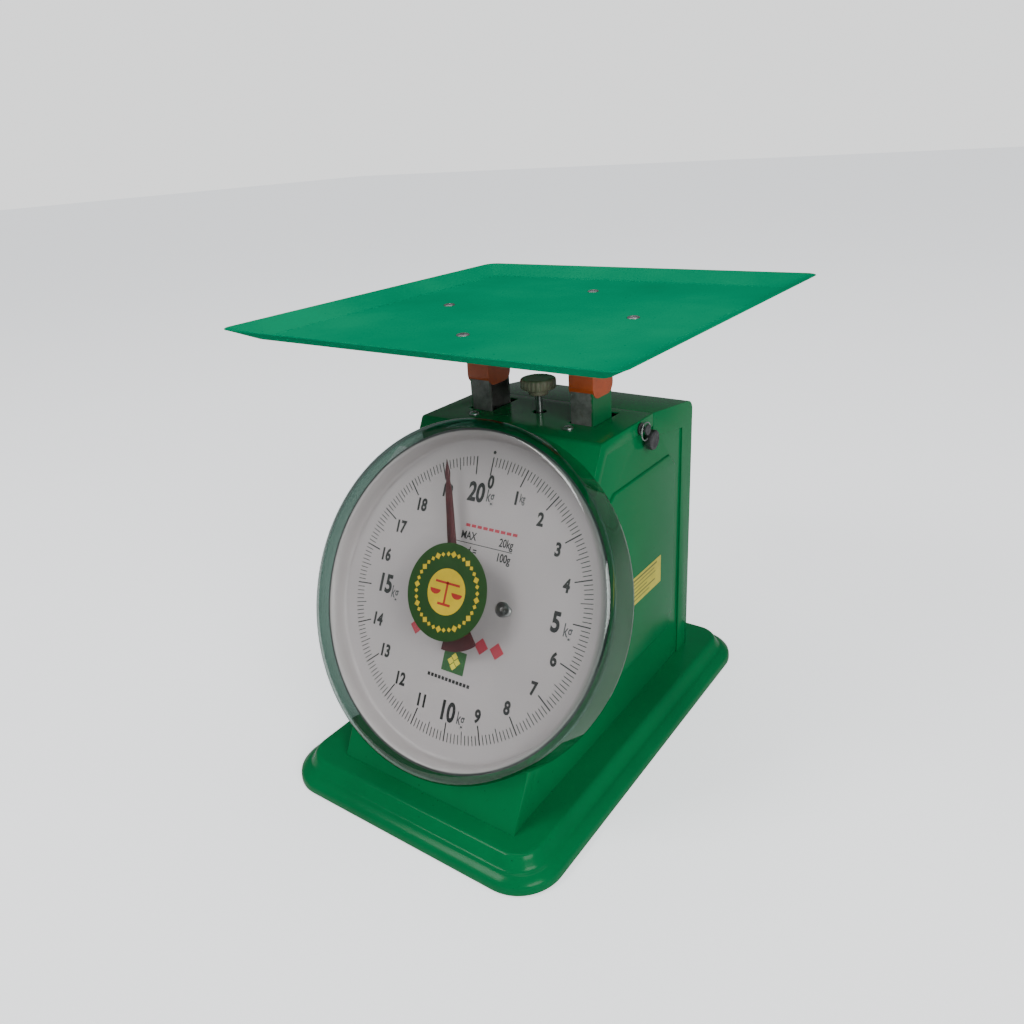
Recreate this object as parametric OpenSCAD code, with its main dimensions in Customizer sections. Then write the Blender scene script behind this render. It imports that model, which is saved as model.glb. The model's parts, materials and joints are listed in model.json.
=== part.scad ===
// Spring dial platform scale, 20 kg, with a leaning dial on the front.
// Origin: on the ground, under the middle of the casing width. +Z up, -Y is the dial side, +X the reader's right.

/* [Base] */
// Width of the base pan
base_w = 214; // [204:1:220]
// Depth of the base pan
base_d = 316; // [314:1:324]
// How far the middle of the base stands to the right of the middle of the casing
base_x = -4; // [-5:0.5:4]
// Where the middle of the base stands, along Y
base_y = -4; // [-5:0.5:0]
// Corner radius of the base pan
base_r = 30; // [20:1:36]
// Height of the flat top of the base pan
base_h = 20; // [18:0.5:24]
// Thickness of the pressed sheet in the base pan
pan_t = 1.2; // [1:0.1:1.6]

/* [Casing] */
// Width of the casing
body_w = 144; // [136:1:150]
// Where the front panel meets the base, along Y
front_y = -136; // [-140:1:-130]
// Where the back panel stands, along Y
back_y = 112; // [102:1:112]
// Height of the casing top above the ground
body_top = 235; // [233:1:237]
// Backward lean of the front panel and dial, in degrees
lean = 28.3; // [27.5:0.1:29]
// Thickness of the casing sheet
sheet_t = 1; // [0.8:0.1:1.2]
// Width of the strip that the front cover folds round each side
fold_w = 9; // [6:0.5:12]
// Where the casing top begins to slope down towards the back, along Y
slope_y = 48; // [40:1:60]
// How far the casing top has dropped at the back corner
slope_drop = 7; // [4:0.5:9]
// Radius of the rounded top corner at the back
back_r = 9; // [6:0.5:12]

/* [Dial] */
// How far the dial stands to the right of the middle of the casing
dial_x = 4; // [3:0.5:5]
// Height of the dial centre above the ground
dial_z = 139.8; // [136:0.1:143]
// Outer radius of the dial plate
plate_r = 108.5; // [106:0.5:110]
// How far the rim of the dial plate stands forward of its face
plate_rim = 11.5; // [8:0.5:13]
// How far the dial plate face stands forward of the front panel
plate_gap = 8.2; // [7:0.1:10]
// Outer radius of the clear cover
cover_r = 114; // [112:0.5:116]
// Depth of the clear cover from the front panel to its front face
cover_depth = 30.5; // [27:0.5:32]
// Wall of the clear cover
cover_t = 1.5; // [1:0.1:2]
// Distance from the dial centre to each dial screw
dial_screw_x = 30; // [26:0.5:34]
// Pointer angle at rest, anticlockwise of the zero mark, in degrees
pointer_rest = 20; // [18:1:30]
// Height of the pointer hub above the dial face
pointer_lift = 8.3; // [6:0.1:10]
// Reach of the pointer from the dial centre to its tip
pointer_r = 90; // [86:0.5:91]
// Radius of the round sticker on the clear cover
sticker_r = 30.5; // [25:0.5:34]

/* [Platform] */
// Width of the platform across the rims
tray_w = 280; // [270:1:290]
// Depth of the platform across the rims
tray_d = 284; // [276:1:296]
// Height of the platform rim above the ground at rest
tray_top = 310.5; // [308:0.5:314]
// Height of the flared rim
rim_h = 8.5; // [7:0.5:11]
// How far the rim flares outwards
rim_flare = 16; // [12:0.5:18]
// Thickness of the platform sheet
tray_t = 1.2; // [1:0.1:1.6]
// Middle of the platform and of the load frame, along Y
load_y = 20; // [19:0.5:22]

/* [Load frame] */
// Outer half-width of the load frame
post_x = 49.7; // [49:0.1:50.5]
// Width of a post flange inside the casing
post_flange = 10.5; // [9:0.1:11]
// Width of a post flange at the wide head that stands above the casing
head_flange = 17; // [15:0.5:18]
// Depth of a post front to back
post_d = 24; // [22:1:25]
// Sheet thickness of the load frame
post_t = 2; // [1.6:0.1:2.4]
// Height of the foot of the load frame above the ground
foot_z = 68; // [66:1:70]
// Half-distance between the left and right platform screws
screw_x = 72; // [68:1:76]
// Half-distance between the front and back platform screws
screw_y = 76; // [72:1:80]

/* [Mechanism] */
// Gear module of the rack and pinion
gear_m = 0.4; // [0.4:0.05:0.45]
// Teeth on the pinion
pinion_teeth = 12; // [12:1:13]
// Distance of the rack plane behind the dial face
rack_back = 24; // [23:0.5:25]
// Distance from each lever's pivot rod to its link pins
lever_len = 67; // [66:0.5:68]
// Height of the upper link pins at rest
upper_pin_z = 176; // [172:1:180]
// Height of the lower link pins at rest
lower_pin_z = 104; // [100:1:108]
// Sideways distance from the middle to each main spring
spring_x = 20; // [19:0.5:21]
// Coil radius of a main spring, to the wire centre
spring_r = 8; // [7:0.25:8.5]
// Wire diameter of a main spring
spring_wire = 2.6; // [2:0.1:2.8]
// Turns of a main spring
spring_turns = 16; // [12:1:18]

/* [Hidden] */
$fn = 64;
fine = 128;
e = 0.01;
front_slope = tan(lean);
top_front_y = front_y + (body_top - base_h) * front_slope;
dial_y = front_y + (dial_z - base_h) * front_slope - plate_gap / cos(lean);
half_w = body_w / 2;
inner_w = half_w - sheet_t;
rear_z = body_top - slope_drop;
back_fold = 17;
field_t = 1.6;
top_screw_x = 38;
top_screw_y = top_front_y + 16;
back_screw_x = 56;
back_screw_z = [base_h + 24, rear_z - 34];
frame_x = 60;
frame_t = 2;
frame_top = 214;
bridge_t = 3;
plate_t = 1.5;
face_back = 12;
movement_depth = 24;
floor_z = tray_top - rim_h;
cross_t = 3;
cross_z = floor_z - cross_t;
cross_w = 24;
screw_r = 4;
screw_seat = 0.6;
wire_loop = 6;
wire_r = 0.6;
cap_z = 252;
head_z = 205;
cap_h = 32;
cap_reach = head_flange + 1.2;
arbor_r = 1.5;
pitch_r = gear_m * pinion_teeth / 2;
pitch = PI * gear_m;
tip_r = pitch_r + 0.75 * gear_m;
root_r = pitch_r - 1.15 * gear_m;
tooth = 0.95 * gear_m;
rack_foot = 62;
rack_w = 7;
rack_slot = 8;
arm_x = 8.2;
arm_t = 2.5;
foot_pin_r = 1.5;
foot_pin_y = dial_y - rack_foot * sin(lean) + rack_back * cos(lean);
foot_pin_z = dial_z - rack_foot * cos(lean) - rack_back * sin(lean);
pivot_y = load_y + lever_len;
pivot_drop = 7;
pivot_r = 3;
arm_span = 36;
pin_r = 2.5;
run_fit = 0.06;
hanger_z = 194;
hanger_h = 8;
knob_z = 247.5;
knob_r = 12.3;
knob_h = 11.5;
knob_neck = 4;
knob_neck_r = 7;
zero_r = 2.5;
plug_r = spring_r - spring_wire / 2 - 0.6;
spring_bottom = foot_z + 5.4;
seal_y = 29;
seal_z = 230;
seal_angle = 45;
label_y = 36;
label_z = 113;

// ---------- shared shapes ----------

// Frame of the dial: x to the right, y up the slope, z out of the dial face, zero on the face.
module on_dial() {
    translate([dial_x, dial_y, dial_z])
        rotate([90 - lean, 0, 0])
            children();
}

// Rounded rectangle from squares and circles, so its corners stay true arcs.
module rounded(w, d, r) {
    square([w - 2 * r, d], center = true);
    square([w, d - 2 * r], center = true);
    for (x = [-1, 1], y = [-1, 1])
        translate([x * (w / 2 - r), y * (d / 2 - r)])
            circle(r, $fn = fine);
}

// Solid of a base-shaped layer, inset from the base outline, from one height to another.
module base_layer(inset, z0, z1, shrink = 0) {
    hull() {
        translate([base_x, base_y, z0])
            linear_extrude(e)
                rounded(base_w - 2 * inset, base_d - 2 * inset, base_r - inset, $fn = 48);
        translate([base_x, base_y, z1 - e])
            linear_extrude(e)
                rounded(base_w - 2 * (inset + shrink), base_d - 2 * (inset + shrink), base_r - inset - shrink);
    }
}

// Outline of the casing seen from its side, drawn in (Y, Z) and pulled in by the distance m.
module side_outline(m = 0) {
    r = max(back_r - m, 0.5);
    y0 = front_y + m / cos(lean);
    polygon([
        [y0, base_h],
        [y0 + (body_top - m - base_h) * front_slope, body_top - m],
        [slope_y, body_top - m],
        for (a = [84:-12:0]) [back_y - m - r + r * cos(a), rear_z - m - r + r * sin(a)],
        [back_y - m, base_h]
    ]);
}

// Everything behind the front sheet and under the top sheet by the distance m.
module behind_front(m) {
    y0 = front_y + m / cos(lean);
    polygon([
        [y0 - 60 * front_slope, base_h - 60],
        [y0 + (body_top - m - base_h) * front_slope, body_top - m],
        [slope_y + 60, body_top - m],
        [slope_y + 60, base_h - 60]
    ]);
}

// Stands a (Y, Z) drawing up as a plate with its faces at x and x + t.
module plate_at(x, t) {
    translate([x, 0, 0])
        rotate([90, 0, 90])
            linear_extrude(t)
                children();
}

module screw_head(r, h) {
    difference() {
        cylinder(r = r, h = h);
        translate([0, 0, h])
            cube([r * 0.3, r * 1.3, h], center = true);
        translate([0, 0, h])
            cube([r * 1.3, r * 0.3, h], center = true);
    }
}

// ---------- base ----------

module base_pan() {
    color("forestgreen")
        difference() {
            union() {
                base_layer(0, 1, 7, 1);
                base_layer(1, 7 - e, 11.5, 5);
                base_layer(8, 11.5 - e, base_h, 5);
            }
            base_layer(pan_t, 0, 6.5, 1);
            base_layer(1 + pan_t, 6.5 - e, 11.5 - pan_t, 5);
            base_layer(8 + pan_t, 11.5 - pan_t - e, base_h - pan_t, 5);
        }
}

module foot(x, y) {
    color("dimgray")
        translate([base_x + x * (base_w / 2 - 30), base_y + y * (base_d / 2 - 30), 0]) {
            cylinder(r = 9, h = base_h - pan_t);
            cylinder(r = 11, h = 3);
        }
}

// ---------- casing ----------

// Front panel and top in one bent sheet, folded a little way round both sides.
module front_top_cover() {
    color("green")
        difference() {
            plate_at(-half_w, body_w)
                intersection() {
                    side_outline();
                    translate([front_y - 1, 0])
                        square([slope_y - front_y + 1, body_top + 1]);
                }
            plate_at(-inner_w, 2 * inner_w)
                behind_front(sheet_t);
            plate_at(-half_w - 1, body_w + 2)
                behind_front(fold_w);
            on_dial() {
                translate([0, 0, -20])
                    cylinder(r = 7, h = 20);
                for (x = [-1, 1])
                    translate([x * dial_screw_x, 0, -20])
                        cylinder(r = 3.4, h = 20);
            }
            for (x = [-1, 1])
                translate([x * (post_x - head_flange / 2), load_y + 3, body_top])
                    cube([head_flange + 3, post_d + 9, 6], center = true);
            translate([0, load_y, body_top - 5])
                cylinder(r = 5, h = 10);
            for (x = [-1, 1])
                translate([x * top_screw_x, top_screw_y, body_top - 5])
                    cylinder(r = 1.6, h = 10);
            translate([0, seal_y, seal_z])
                rotate([0, 90, 0])
                    cylinder(r = 1.7, h = half_w + 5);
        }
}

// Side panel behind the folded edges, with a raised field that follows the casing outline.
module side_panel(s) {
    color("green")
        mirror([s < 0 ? 1 : 0, 0, 0])
            difference() {
                union() {
                    plate_at(inner_w - sheet_t, sheet_t)
                        side_outline(sheet_t + 0.2);
                    plate_at(inner_w - e, field_t + e)
                        field_outline();
                }
                if (s > 0)
                    translate([0, seal_y, seal_z])
                        rotate([0, 90, 0])
                            cylinder(r = 1.7, h = half_w + 5);
            }
}

// Outline of the raised field on a side panel, in (Y, Z), with clipped corners.
module field_outline() {
    low = base_h + 34;
    high = body_top - 38;
    near = front_y + 22 / cos(lean);
    far = back_y - 28;
    clip = 10;
    polygon([
        [near + (low + clip - base_h) * front_slope, low + clip],
        [near + (high - clip - base_h) * front_slope, high - clip],
        [near + (high - base_h) * front_slope + clip, high],
        [far - clip, high],
        [far, high - clip],
        [far, low + clip],
        [far - clip, low],
        [near + (low - base_h) * front_slope + clip, low]
    ]);
}

// Back panel, folded round both sides and over the rounded top corner.
module back_cover() {
    color("green")
        difference() {
            plate_at(-half_w, body_w)
                intersection() {
                    side_outline();
                    translate([slope_y + 0.3, base_h])
                        square([100, 300]);
                }
            plate_at(-inner_w, 2 * inner_w)
                side_outline(sheet_t);
            plate_at(-half_w - 1, body_w + 2)
                side_outline(back_fold);
            for (x = [-1, 1], z = back_screw_z)
                translate([x * back_screw_x, back_y - 6, z])
                    rotate([-90, 0, 0])
                        cylinder(r = 1.6, h = 10);
        }
}

module top_screw(s) {
    color("silver")
        translate([s * top_screw_x, top_screw_y, body_top]) {
            screw_head(3.4, 2);
            translate([0, 0, -6])
                cylinder(r = 1.55, h = 6 + e);
        }
}

module back_screws() {
    color("silver")
        for (x = [-1, 1], z = back_screw_z)
            translate([x * back_screw_x, back_y, z])
                rotate([-90, 0, 0]) {
                    screw_head(3.4, 2);
                    translate([0, 0, -6])
                        cylinder(r = 1.55, h = 6 + e);
                }
}

// ---------- inner frame ----------

// Outline of a frame plate in (Y, Z): its front edge follows the casing front.
module frame_outline() {
    gap = (face_back - plate_gap) / cos(lean);
    polygon([
        [front_y + gap + 10 * front_slope, base_h],
        [front_y + gap + (frame_top - base_h) * front_slope, frame_top],
        [load_y + 40, frame_top],
        [pivot_y + 10, frame_top - 26],
        [pivot_y + 10, base_h]
    ]);
}

module frame_plate(s) {
    color("gray")
        mirror([s < 0 ? 1 : 0, 0, 0])
            difference() {
                plate_at(frame_x, frame_t)
                    difference() {
                        frame_outline();
                        translate([-40, base_h + 20])
                            square([96, 60]);
                        translate([-2, base_h + 104])
                            square([58, 46]);
                    }
                for (z = [upper_pin_z, lower_pin_z])
                    translate([frame_x - 1, pivot_y, z - pivot_drop])
                        rotate([0, 90, 0])
                            cylinder(r = pivot_r + 0.02, h = frame_t + 2);
            }
}

// Bridge across the frame tops, with slots for the two posts and a hole for the zero screw.
module frame_bridge() {
    color("gray")
        difference() {
            translate([-frame_x - frame_t, load_y - 27, frame_top])
                cube([2 * (frame_x + frame_t), 54, bridge_t]);
            for (x = [-1, 1])
                translate([x * (post_x - head_flange / 2), load_y, frame_top])
                    cube([head_flange + 2, post_d + 3, 4 * bridge_t], center = true);
            translate([0, load_y, frame_top - 1])
                cylinder(r = zero_r + run_fit, h = bridge_t + 2);
        }
}

module pivot_rod(z) {
    color("silver")
        translate([-frame_x - frame_t, pivot_y, z - pivot_drop])
            rotate([0, 90, 0])
                cylinder(r = pivot_r, h = 2 * (frame_x + frame_t));
}

// ---------- load frame ----------

// Channel post with its open side facing the middle of the scale and a wider head.
module load_post(s) {
    color("darkgreen")
        mirror([s < 0 ? 1 : 0, 0, 0])
            difference() {
                union() {
                    channel(post_flange, foot_z, cross_z);
                    channel(head_flange, head_z, cross_z);
                }
                for (z = [upper_pin_z, lower_pin_z], y = [-1, 1])
                    translate([post_x - 5, load_y + y, z])
                        rotate([0, 90, 0])
                            cylinder(r = pin_r + 0.5, h = 10);
            }
}

// Upright channel with its web at the right and its flanges reaching inwards.
module channel(w, z0, z1) {
    difference() {
        translate([post_x - w, load_y - post_d / 2, z0])
            cube([w, post_d, z1 - z0]);
        translate([post_x - w - 1, load_y - post_d / 2 + post_t, z0 - 1])
            cube([w - post_t + 1, post_d - 2 * post_t, z1 - z0 + 2]);
    }
}

// Foot of the load frame: it joins both posts and carries a plug for each main spring.
module load_crossbar() {
    color("dimgray") {
        translate([-post_x + post_t, load_y - 10, foot_z])
            cube([2 * (post_x - post_t), 20, 4]);
        for (x = [-1, 1])
            translate([x * spring_x, load_y, foot_z + 4 - e])
                cylinder(r = plug_r, h = 9);
    }
}

// Arm that reaches forward from the crossbar and pulls the rack down.
module rack_arm() {
    end_y = foot_pin_y - rack_slot - 4;
    color("dimgray")
        difference() {
            union() {
                translate([dial_x + arm_x, end_y, foot_pin_z - 5])
                    cube([arm_t, load_y - 10 - end_y, 10]);
                translate([dial_x + arm_x, load_y - 12, foot_z - 4])
                    cube([12, 20, 4]);
                translate([dial_x + arm_x, load_y - 14, foot_z - 4])
                    cube([arm_t, 4, foot_pin_z + 5 - foot_z + 4]);
            }
            hull()
                for (y = [0.6, -rack_slot - 0.6])
                    translate([dial_x + arm_x - 1, foot_pin_y + y, foot_pin_z])
                        rotate([0, 90, 0])
                            cylinder(r = 1.9, h = arm_t + 2, $fn = 32);
        }
}

// ---------- levers ----------

// Forked lever: a tube round the pivot rod and two arms that end at the link pins.
module lever(z) {
    color("dimgray")
        translate([0, 0, z])
            difference() {
                union() {
                    translate([-arm_span, pivot_y, -pivot_drop])
                        rotate([0, 90, 0])
                            cylinder(r = 5, h = 2 * arm_span);
                    for (x = [-arm_span, arm_span - 3])
                        plate_at(x, 3)
                            lever_side();
                }
                translate([-arm_span - 1, pivot_y, -pivot_drop])
                    rotate([0, 90, 0])
                        cylinder(r = pivot_r + run_fit, h = 2 * arm_span + 2);
                for (x = [-arm_span - 1, arm_span - 4])
                    translate([x, load_y, 0])
                        rotate([0, 90, 0])
                            cylinder(r = pin_r + 0.02, h = 5);
            }
}

// Side view of a lever arm in (Y, Z), its link pin at the origin height.
module lever_side() {
    pin_end = 5;
    rod_end = 7;
    translate([load_y, 0])
        circle(pin_end);
    translate([pivot_y, -pivot_drop])
        circle(rod_end);
    polygon([
        [load_y, pin_end - 0.5],
        [pivot_y, rod_end - pivot_drop - 0.5],
        [pivot_y, 0.5 - rod_end - pivot_drop],
        [load_y, 0.5 - pin_end]
    ]);
}

module link_pin(s, z) {
    color("silver")
        mirror([s < 0 ? 1 : 0, 0, 0])
            translate([arm_span - 3, load_y, z])
                rotate([0, 90, 0])
                    cylinder(r = pin_r, h = post_x + 2.5 - arm_span + 3);
}

// ---------- zero adjustment and springs ----------

module zero_knob() {
    color("ivory")
        translate([0, load_y, knob_z])
            difference() {
                union() {
                    cylinder(r = knob_neck_r, h = knob_neck + 1);
                    translate([0, 0, knob_neck])
                        cylinder(r = knob_r, h = knob_h - knob_neck, $fn = 96);
                }
                translate([0, 0, -1])
                    cylinder(r = zero_r + 0.02, h = knob_h - 2);
                for (a = [0:15:345])
                    rotate([0, 0, a])
                        translate([knob_r + 0.4, 0, knob_neck - 1])
                            cylinder(r = 1, h = knob_h, $fn = 16);
            }
}

module zero_screw() {
    color("silver")
        translate([0, load_y, 0]) {
            translate([0, 0, hanger_z - 4])
                cylinder(r = zero_r, h = knob_z + knob_h - 3 - hanger_z + 4);
            translate([0, 0, frame_top + bridge_t + 0.05])
                cylinder(r = 4.4, h = 4);
        }
}

module spring_hanger() {
    color("gray")
        difference() {
            union() {
                translate([-spring_x - 10, load_y - 9, hanger_z])
                    cube([2 * spring_x + 20, 18, hanger_h]);
                for (x = [-1, 1])
                    translate([x * spring_x, load_y, hanger_z - 9])
                        cylinder(r = plug_r, h = 9 + e);
            }
            translate([0, load_y, hanger_z - 1])
                cylinder(r = zero_r + run_fit, h = hanger_h + 2);
        }
}

// Points on a circle of the wire, seen at turn angle a and height z.
function wire_ring(a, z) = [
    for (k = [0:7])
        let (q = 45 * k, r = spring_r + spring_wire / 2 * cos(q))
            [r * cos(a), r * sin(a), z + spring_wire / 2 * sin(q)]
];

// Coil spring swept along a helix from the crossbar to the hanger.
module main_spring(s) {
    z0 = spring_bottom + spring_wire / 2;
    z1 = hanger_z - spring_wire / 2 - 0.02;
    steps = spring_turns * 14;
    rings = [for (i = [0:steps]) wire_ring(360 * spring_turns * i / steps, z0 + (z1 - z0) * i / steps)];
    points = [for (ring = rings) for (p = ring) p];
    sides = [
        for (i = [0:steps - 1]) for (k = [0:7])
            [8 * i + k, 8 * i + (k + 1) % 8, 8 * (i + 1) + (k + 1) % 8, 8 * (i + 1) + k]
    ];
    first = [for (k = [7:-1:0]) k];
    last = [for (k = [0:7]) 8 * steps + k];
    color("silver")
        translate([s * spring_x, load_y, 0])
            polyhedron(points, concat([first], sides, [last]), convexity = 10);
}

// ---------- movement ----------

module movement_front_plate() {
    color("goldenrod")
        on_dial()
            difference() {
                translate([-frame_x - dial_x, -22, -face_back - plate_t])
                    cube([2 * frame_x, 44, plate_t]);
                translate([0, 0, -face_back - 5])
                    cylinder(r = arbor_r + run_fit, h = 10);
            }
}

module movement_back_plate() {
    color("goldenrod")
        on_dial()
            difference() {
                translate([-26, -22, -face_back - plate_t - movement_depth - plate_t])
                    cube([52, 44, plate_t]);
                translate([0, 0, -face_back - movement_depth - 10])
                    cylinder(r = arbor_r + run_fit, h = 10);
            }
}

module movement_pillars() {
    color("goldenrod")
        on_dial()
            for (x = [-1, 1])
                translate([x * 20, -14, -face_back - plate_t - movement_depth])
                    cylinder(r = 3, h = movement_depth);
}

// Half-thickness of a tooth at a distance beyond the pitch line.
function half_tooth(d) = tooth / 2 - d * 0.3;

module rack() {
    depth = 1.25 * gear_m;
    color("silver")
        on_dial()
            translate([0, 0, -rack_back - 1.5])
                linear_extrude(3) {
                    translate([pitch_r + depth, -rack_foot - 4])
                        square([rack_w - pitch_r - depth, rack_foot + 4 + 22]);
                    for (k = [-3:16])
                        translate([0, (k + 0.5) * pitch])
                            polygon([
                                [pitch_r + depth + e, half_tooth(-depth)],
                                [pitch_r - 0.75 * gear_m, half_tooth(0.75 * gear_m)],
                                [pitch_r - 0.75 * gear_m, -half_tooth(0.75 * gear_m)],
                                [pitch_r + depth + e, -half_tooth(-depth)]
                            ]);
                }
}

// Pin at the rack's foot, which rides in the slot of the rack arm.
module rack_foot_pin() {
    color("silver")
        translate([dial_x + rack_w, foot_pin_y, foot_pin_z])
            rotate([0, 90, 0])
                cylinder(r = foot_pin_r, h = arm_x + arm_t + 1.5 - rack_w);
}

// Roller that keeps the rack in mesh with the pinion.
module rack_roller() {
    color("goldenrod")
        on_dial()
            translate([rack_w + 2.3, 8, -face_back - plate_t - movement_depth]) {
                cylinder(r = 1, h = movement_depth);
                translate([0, 0, movement_depth + plate_t + face_back - rack_back - 2.5])
                    cylinder(r = 2, h = 5);
            }
}

// Pointer shaft with its pinion cut in one piece.
module pinion_arbor() {
    color("goldenrod")
        on_dial() {
            translate([0, 0, -face_back - 2 * plate_t - movement_depth - 1])
                cylinder(r = arbor_r, h = face_back + 2 * plate_t + movement_depth + 1 + pointer_lift + 3);
            translate([0, 0, -rack_back - 2.5])
                linear_extrude(5) {
                    circle(root_r);
                    for (k = [0:pinion_teeth - 1])
                        rotate(360 * k / pinion_teeth)
                            polygon([
                                [root_r - 0.3, half_tooth(-1.15 * gear_m)],
                                [tip_r, half_tooth(0.75 * gear_m)],
                                [tip_r, -half_tooth(0.75 * gear_m)],
                                [root_r - 0.3, -half_tooth(-1.15 * gear_m)]
                            ]);
                }
        }
}

module pointer_hub() {
    color("goldenrod")
        on_dial()
            difference() {
                translate([0, 0, pointer_lift])
                    cylinder(r = 6, h = 1.5);
                translate([0, 0, pointer_lift - 1])
                    cylinder(r = arbor_r + 0.02, h = 4);
            }
}

// Stamped pointer with a long blade and a broad paddle that balances it.
module pointer() {
    color("darkred")
        on_dial()
            rotate([0, 0, pointer_rest])
                translate([0, 0, pointer_lift + 1.5])
                    linear_extrude(0.8)
                        difference() {
                            union() {
                                polygon([
                                    [-4.2, 0], [-2.6, pointer_r - 22], [-1.4, pointer_r - 14],
                                    [-1.9, pointer_r - 9], [0, pointer_r],
                                    [1.9, pointer_r - 9], [1.4, pointer_r - 14], [2.6, pointer_r - 22], [4.2, 0]
                                ]);
                                circle(8);
                                polygon([[-4, 0], [-5, -24], [5, -24], [4, 0]]);
                                intersection() {
                                    difference() {
                                        circle(34);
                                        circle(20);
                                    }
                                    polygon([[0, 0], [-19, -44], [19, -44]]);
                                }
                            }
                            circle(arbor_r + 0.02);
                        }
}

// ---------- dial and clear cover ----------

// Shallow dish: flat printed face and a raised rim that leans outwards.
module dial_plate() {
    t = 0.8;
    floor_r = plate_r - 6;
    color("white")
        on_dial()
            difference() {
                rotate_extrude($fn = fine)
                    polygon([
                        [0, -t], [floor_r + 0.3, -t], [plate_r - 3, plate_rim - 2.5], [plate_r, plate_rim - 1],
                        [plate_r, plate_rim], [plate_r - 3.4, plate_rim - 1.2], [floor_r, 0], [0, 0]
                    ]);
                translate([0, 0, -5])
                    cylinder(r = 4.5, h = 10);
                for (x = [-1, 1])
                    translate([x * dial_screw_x, 0, -5])
                        cylinder(r = 1.55, h = 10);
            }
}

module dial_post(s) {
    color("silver")
        on_dial()
            difference() {
                translate([s * dial_screw_x, 0, -face_back])
                    cylinder(r = 3, h = face_back - 0.8);
                translate([s * dial_screw_x, 0, -8])
                    cylinder(r = 1.52, h = 10);
            }
}

module dial_screw(s) {
    color("silver")
        on_dial()
            translate([s * dial_screw_x, 0, 0]) {
                cylinder(r = 5, h = 0.6);
                translate([0, 0, 0.6 - e])
                    screw_head(3.2, 1.8);
                translate([0, 0, -7])
                    cylinder(r = 1.5, h = 7 + e);
            }
}

// Drum-shaped clear cover with a rounded front edge and a narrow flange at the back.
module clear_cover() {
    round_r = 7;
    top = cover_depth - plate_gap;
    color("lightcyan", 0.35)
        on_dial()
            rotate_extrude($fn = fine)
                polygon([
                    [0, top],
                    for (a = [90:-15:0]) [cover_r - round_r + round_r * cos(a), top - round_r + round_r * sin(a)],
                    [cover_r, -plate_gap],
                    [cover_r - cover_t, -plate_gap],
                    for (a = [0:15:90])
                        [cover_r - round_r + (round_r - cover_t) * cos(a), top - round_r + (round_r - cover_t) * sin(a)],
                    [0, top - cover_t]
                ]);
}

module cover_sticker() {
    color("darkgreen")
        on_dial()
            translate([0.7, 3.4, cover_depth - plate_gap])
                cylinder(r = sticker_r, h = 0.3, $fn = fine);
}

// ---------- platform ----------

// Solid of the tray outline between two heights, flaring outwards with height.
module tray_layer(inset, z0, z1) {
    hull() {
        translate([0, load_y, z0])
            linear_extrude(e)
                rounded(tray_w - 2 * (rim_flare + inset), tray_d - 2 * (rim_flare + inset), 4, $fn = 32);
        translate([0, load_y, z1 - e])
            linear_extrude(e)
                rounded(tray_w - 2 * inset, tray_d - 2 * inset, 9, $fn = 32);
    }
}

// Where the four platform screws stand, seen from the middle of the platform.
function screw_spots() = [[-screw_x, 0], [screw_x, 0], [0, -screw_y], [0, screw_y]];

module platform_tray() {
    color("mediumseagreen")
        difference() {
            tray_layer(0, floor_z, tray_top);
            tray_layer(tray_t, floor_z + tray_t, tray_top + tray_t);
            for (p = screw_spots())
                translate([p[0], load_y + p[1], floor_z - 1]) {
                    cylinder(r = 2.1, h = 5);
                    translate([0, 0, 1 + tray_t - screw_seat])
                        cylinder(r = screw_r + 0.15, h = 4);
                }
        }
}

module platform_cross() {
    color("darkgreen")
        difference() {
            translate([0, load_y, cross_z])
                union() {
                    translate([-screw_x - 12, -cross_w / 2, 0])
                        cube([2 * screw_x + 24, cross_w, cross_t]);
                    translate([-cross_w / 2, -screw_y - 12, 0])
                        cube([cross_w, 2 * screw_y + 24, cross_t]);
                }
            for (p = screw_spots())
                translate([p[0], load_y + p[1], cross_z - 1])
                    cylinder(r = 2.1, h = 5);
        }
}

// Flat screw that lies flush in a coined seat, so goods stand on the platform and not on the screws.
module platform_screw(p) {
    color("gray")
        translate([p[0], load_y + p[1], floor_z + tray_t - screw_seat]) {
            screw_head(screw_r, screw_seat);
            translate([0, 0, -8])
                cylinder(r = 2, h = 8 + e);
        }
}

// Plastic cap round the head of a post, with rounded lower corners; it lands on the casing at overload.
module post_cap(s) {
    depth = post_d + 1.6;
    color("orangered")
        mirror([s < 0 ? 1 : 0, 0, 0])
            difference() {
                plate_at(post_x + 0.6 - cap_reach, cap_reach)
                    cap_outline(depth);
                translate([0, 0, -0.5])
                    difference() {
                        translate([post_x - head_flange - 0.05, load_y - post_d / 2 - 0.05, cap_z - 1])
                            cube([head_flange + 0.1, post_d + 0.1, cap_h + 3]);
                        translate([post_x - head_flange - 1, load_y - post_d / 2 + post_t + 0.05, cap_z - 2])
                            cube([head_flange - post_t + 0.95, post_d - 2 * post_t - 0.1, cap_h + 5]);
                    }
            }
}

// Outline of a cap in (Y, Z): square at the top, round at the lower corners.
module cap_outline(depth) {
    r = 7;
    translate([load_y - depth / 2, cap_z + r])
        square([depth, cap_h - r]);
    translate([load_y - depth / 2 + r, cap_z])
        square([depth - 2 * r, r + e]);
    for (y = [-1, 1])
        translate([load_y + y * (depth / 2 - r), cap_z + r])
            circle(r);
}

// ---------- seal and label ----------

module seal_screw() {
    color("silver")
        translate([inner_w - 4, seal_y, seal_z])
            rotate([0, 90, 0]) {
                cylinder(r = 1.6, h = 5 + e);
                translate([0, 0, 5])
                    cylinder(r = 4, h = 1.5);
                translate([0, 0, 6.5 - e])
                    cylinder(r = 2, h = 3.5);
                translate([0, 0, 10 - 2 * e])
                    cylinder(r = 3.6, h = 1.4);
            }
}

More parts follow.
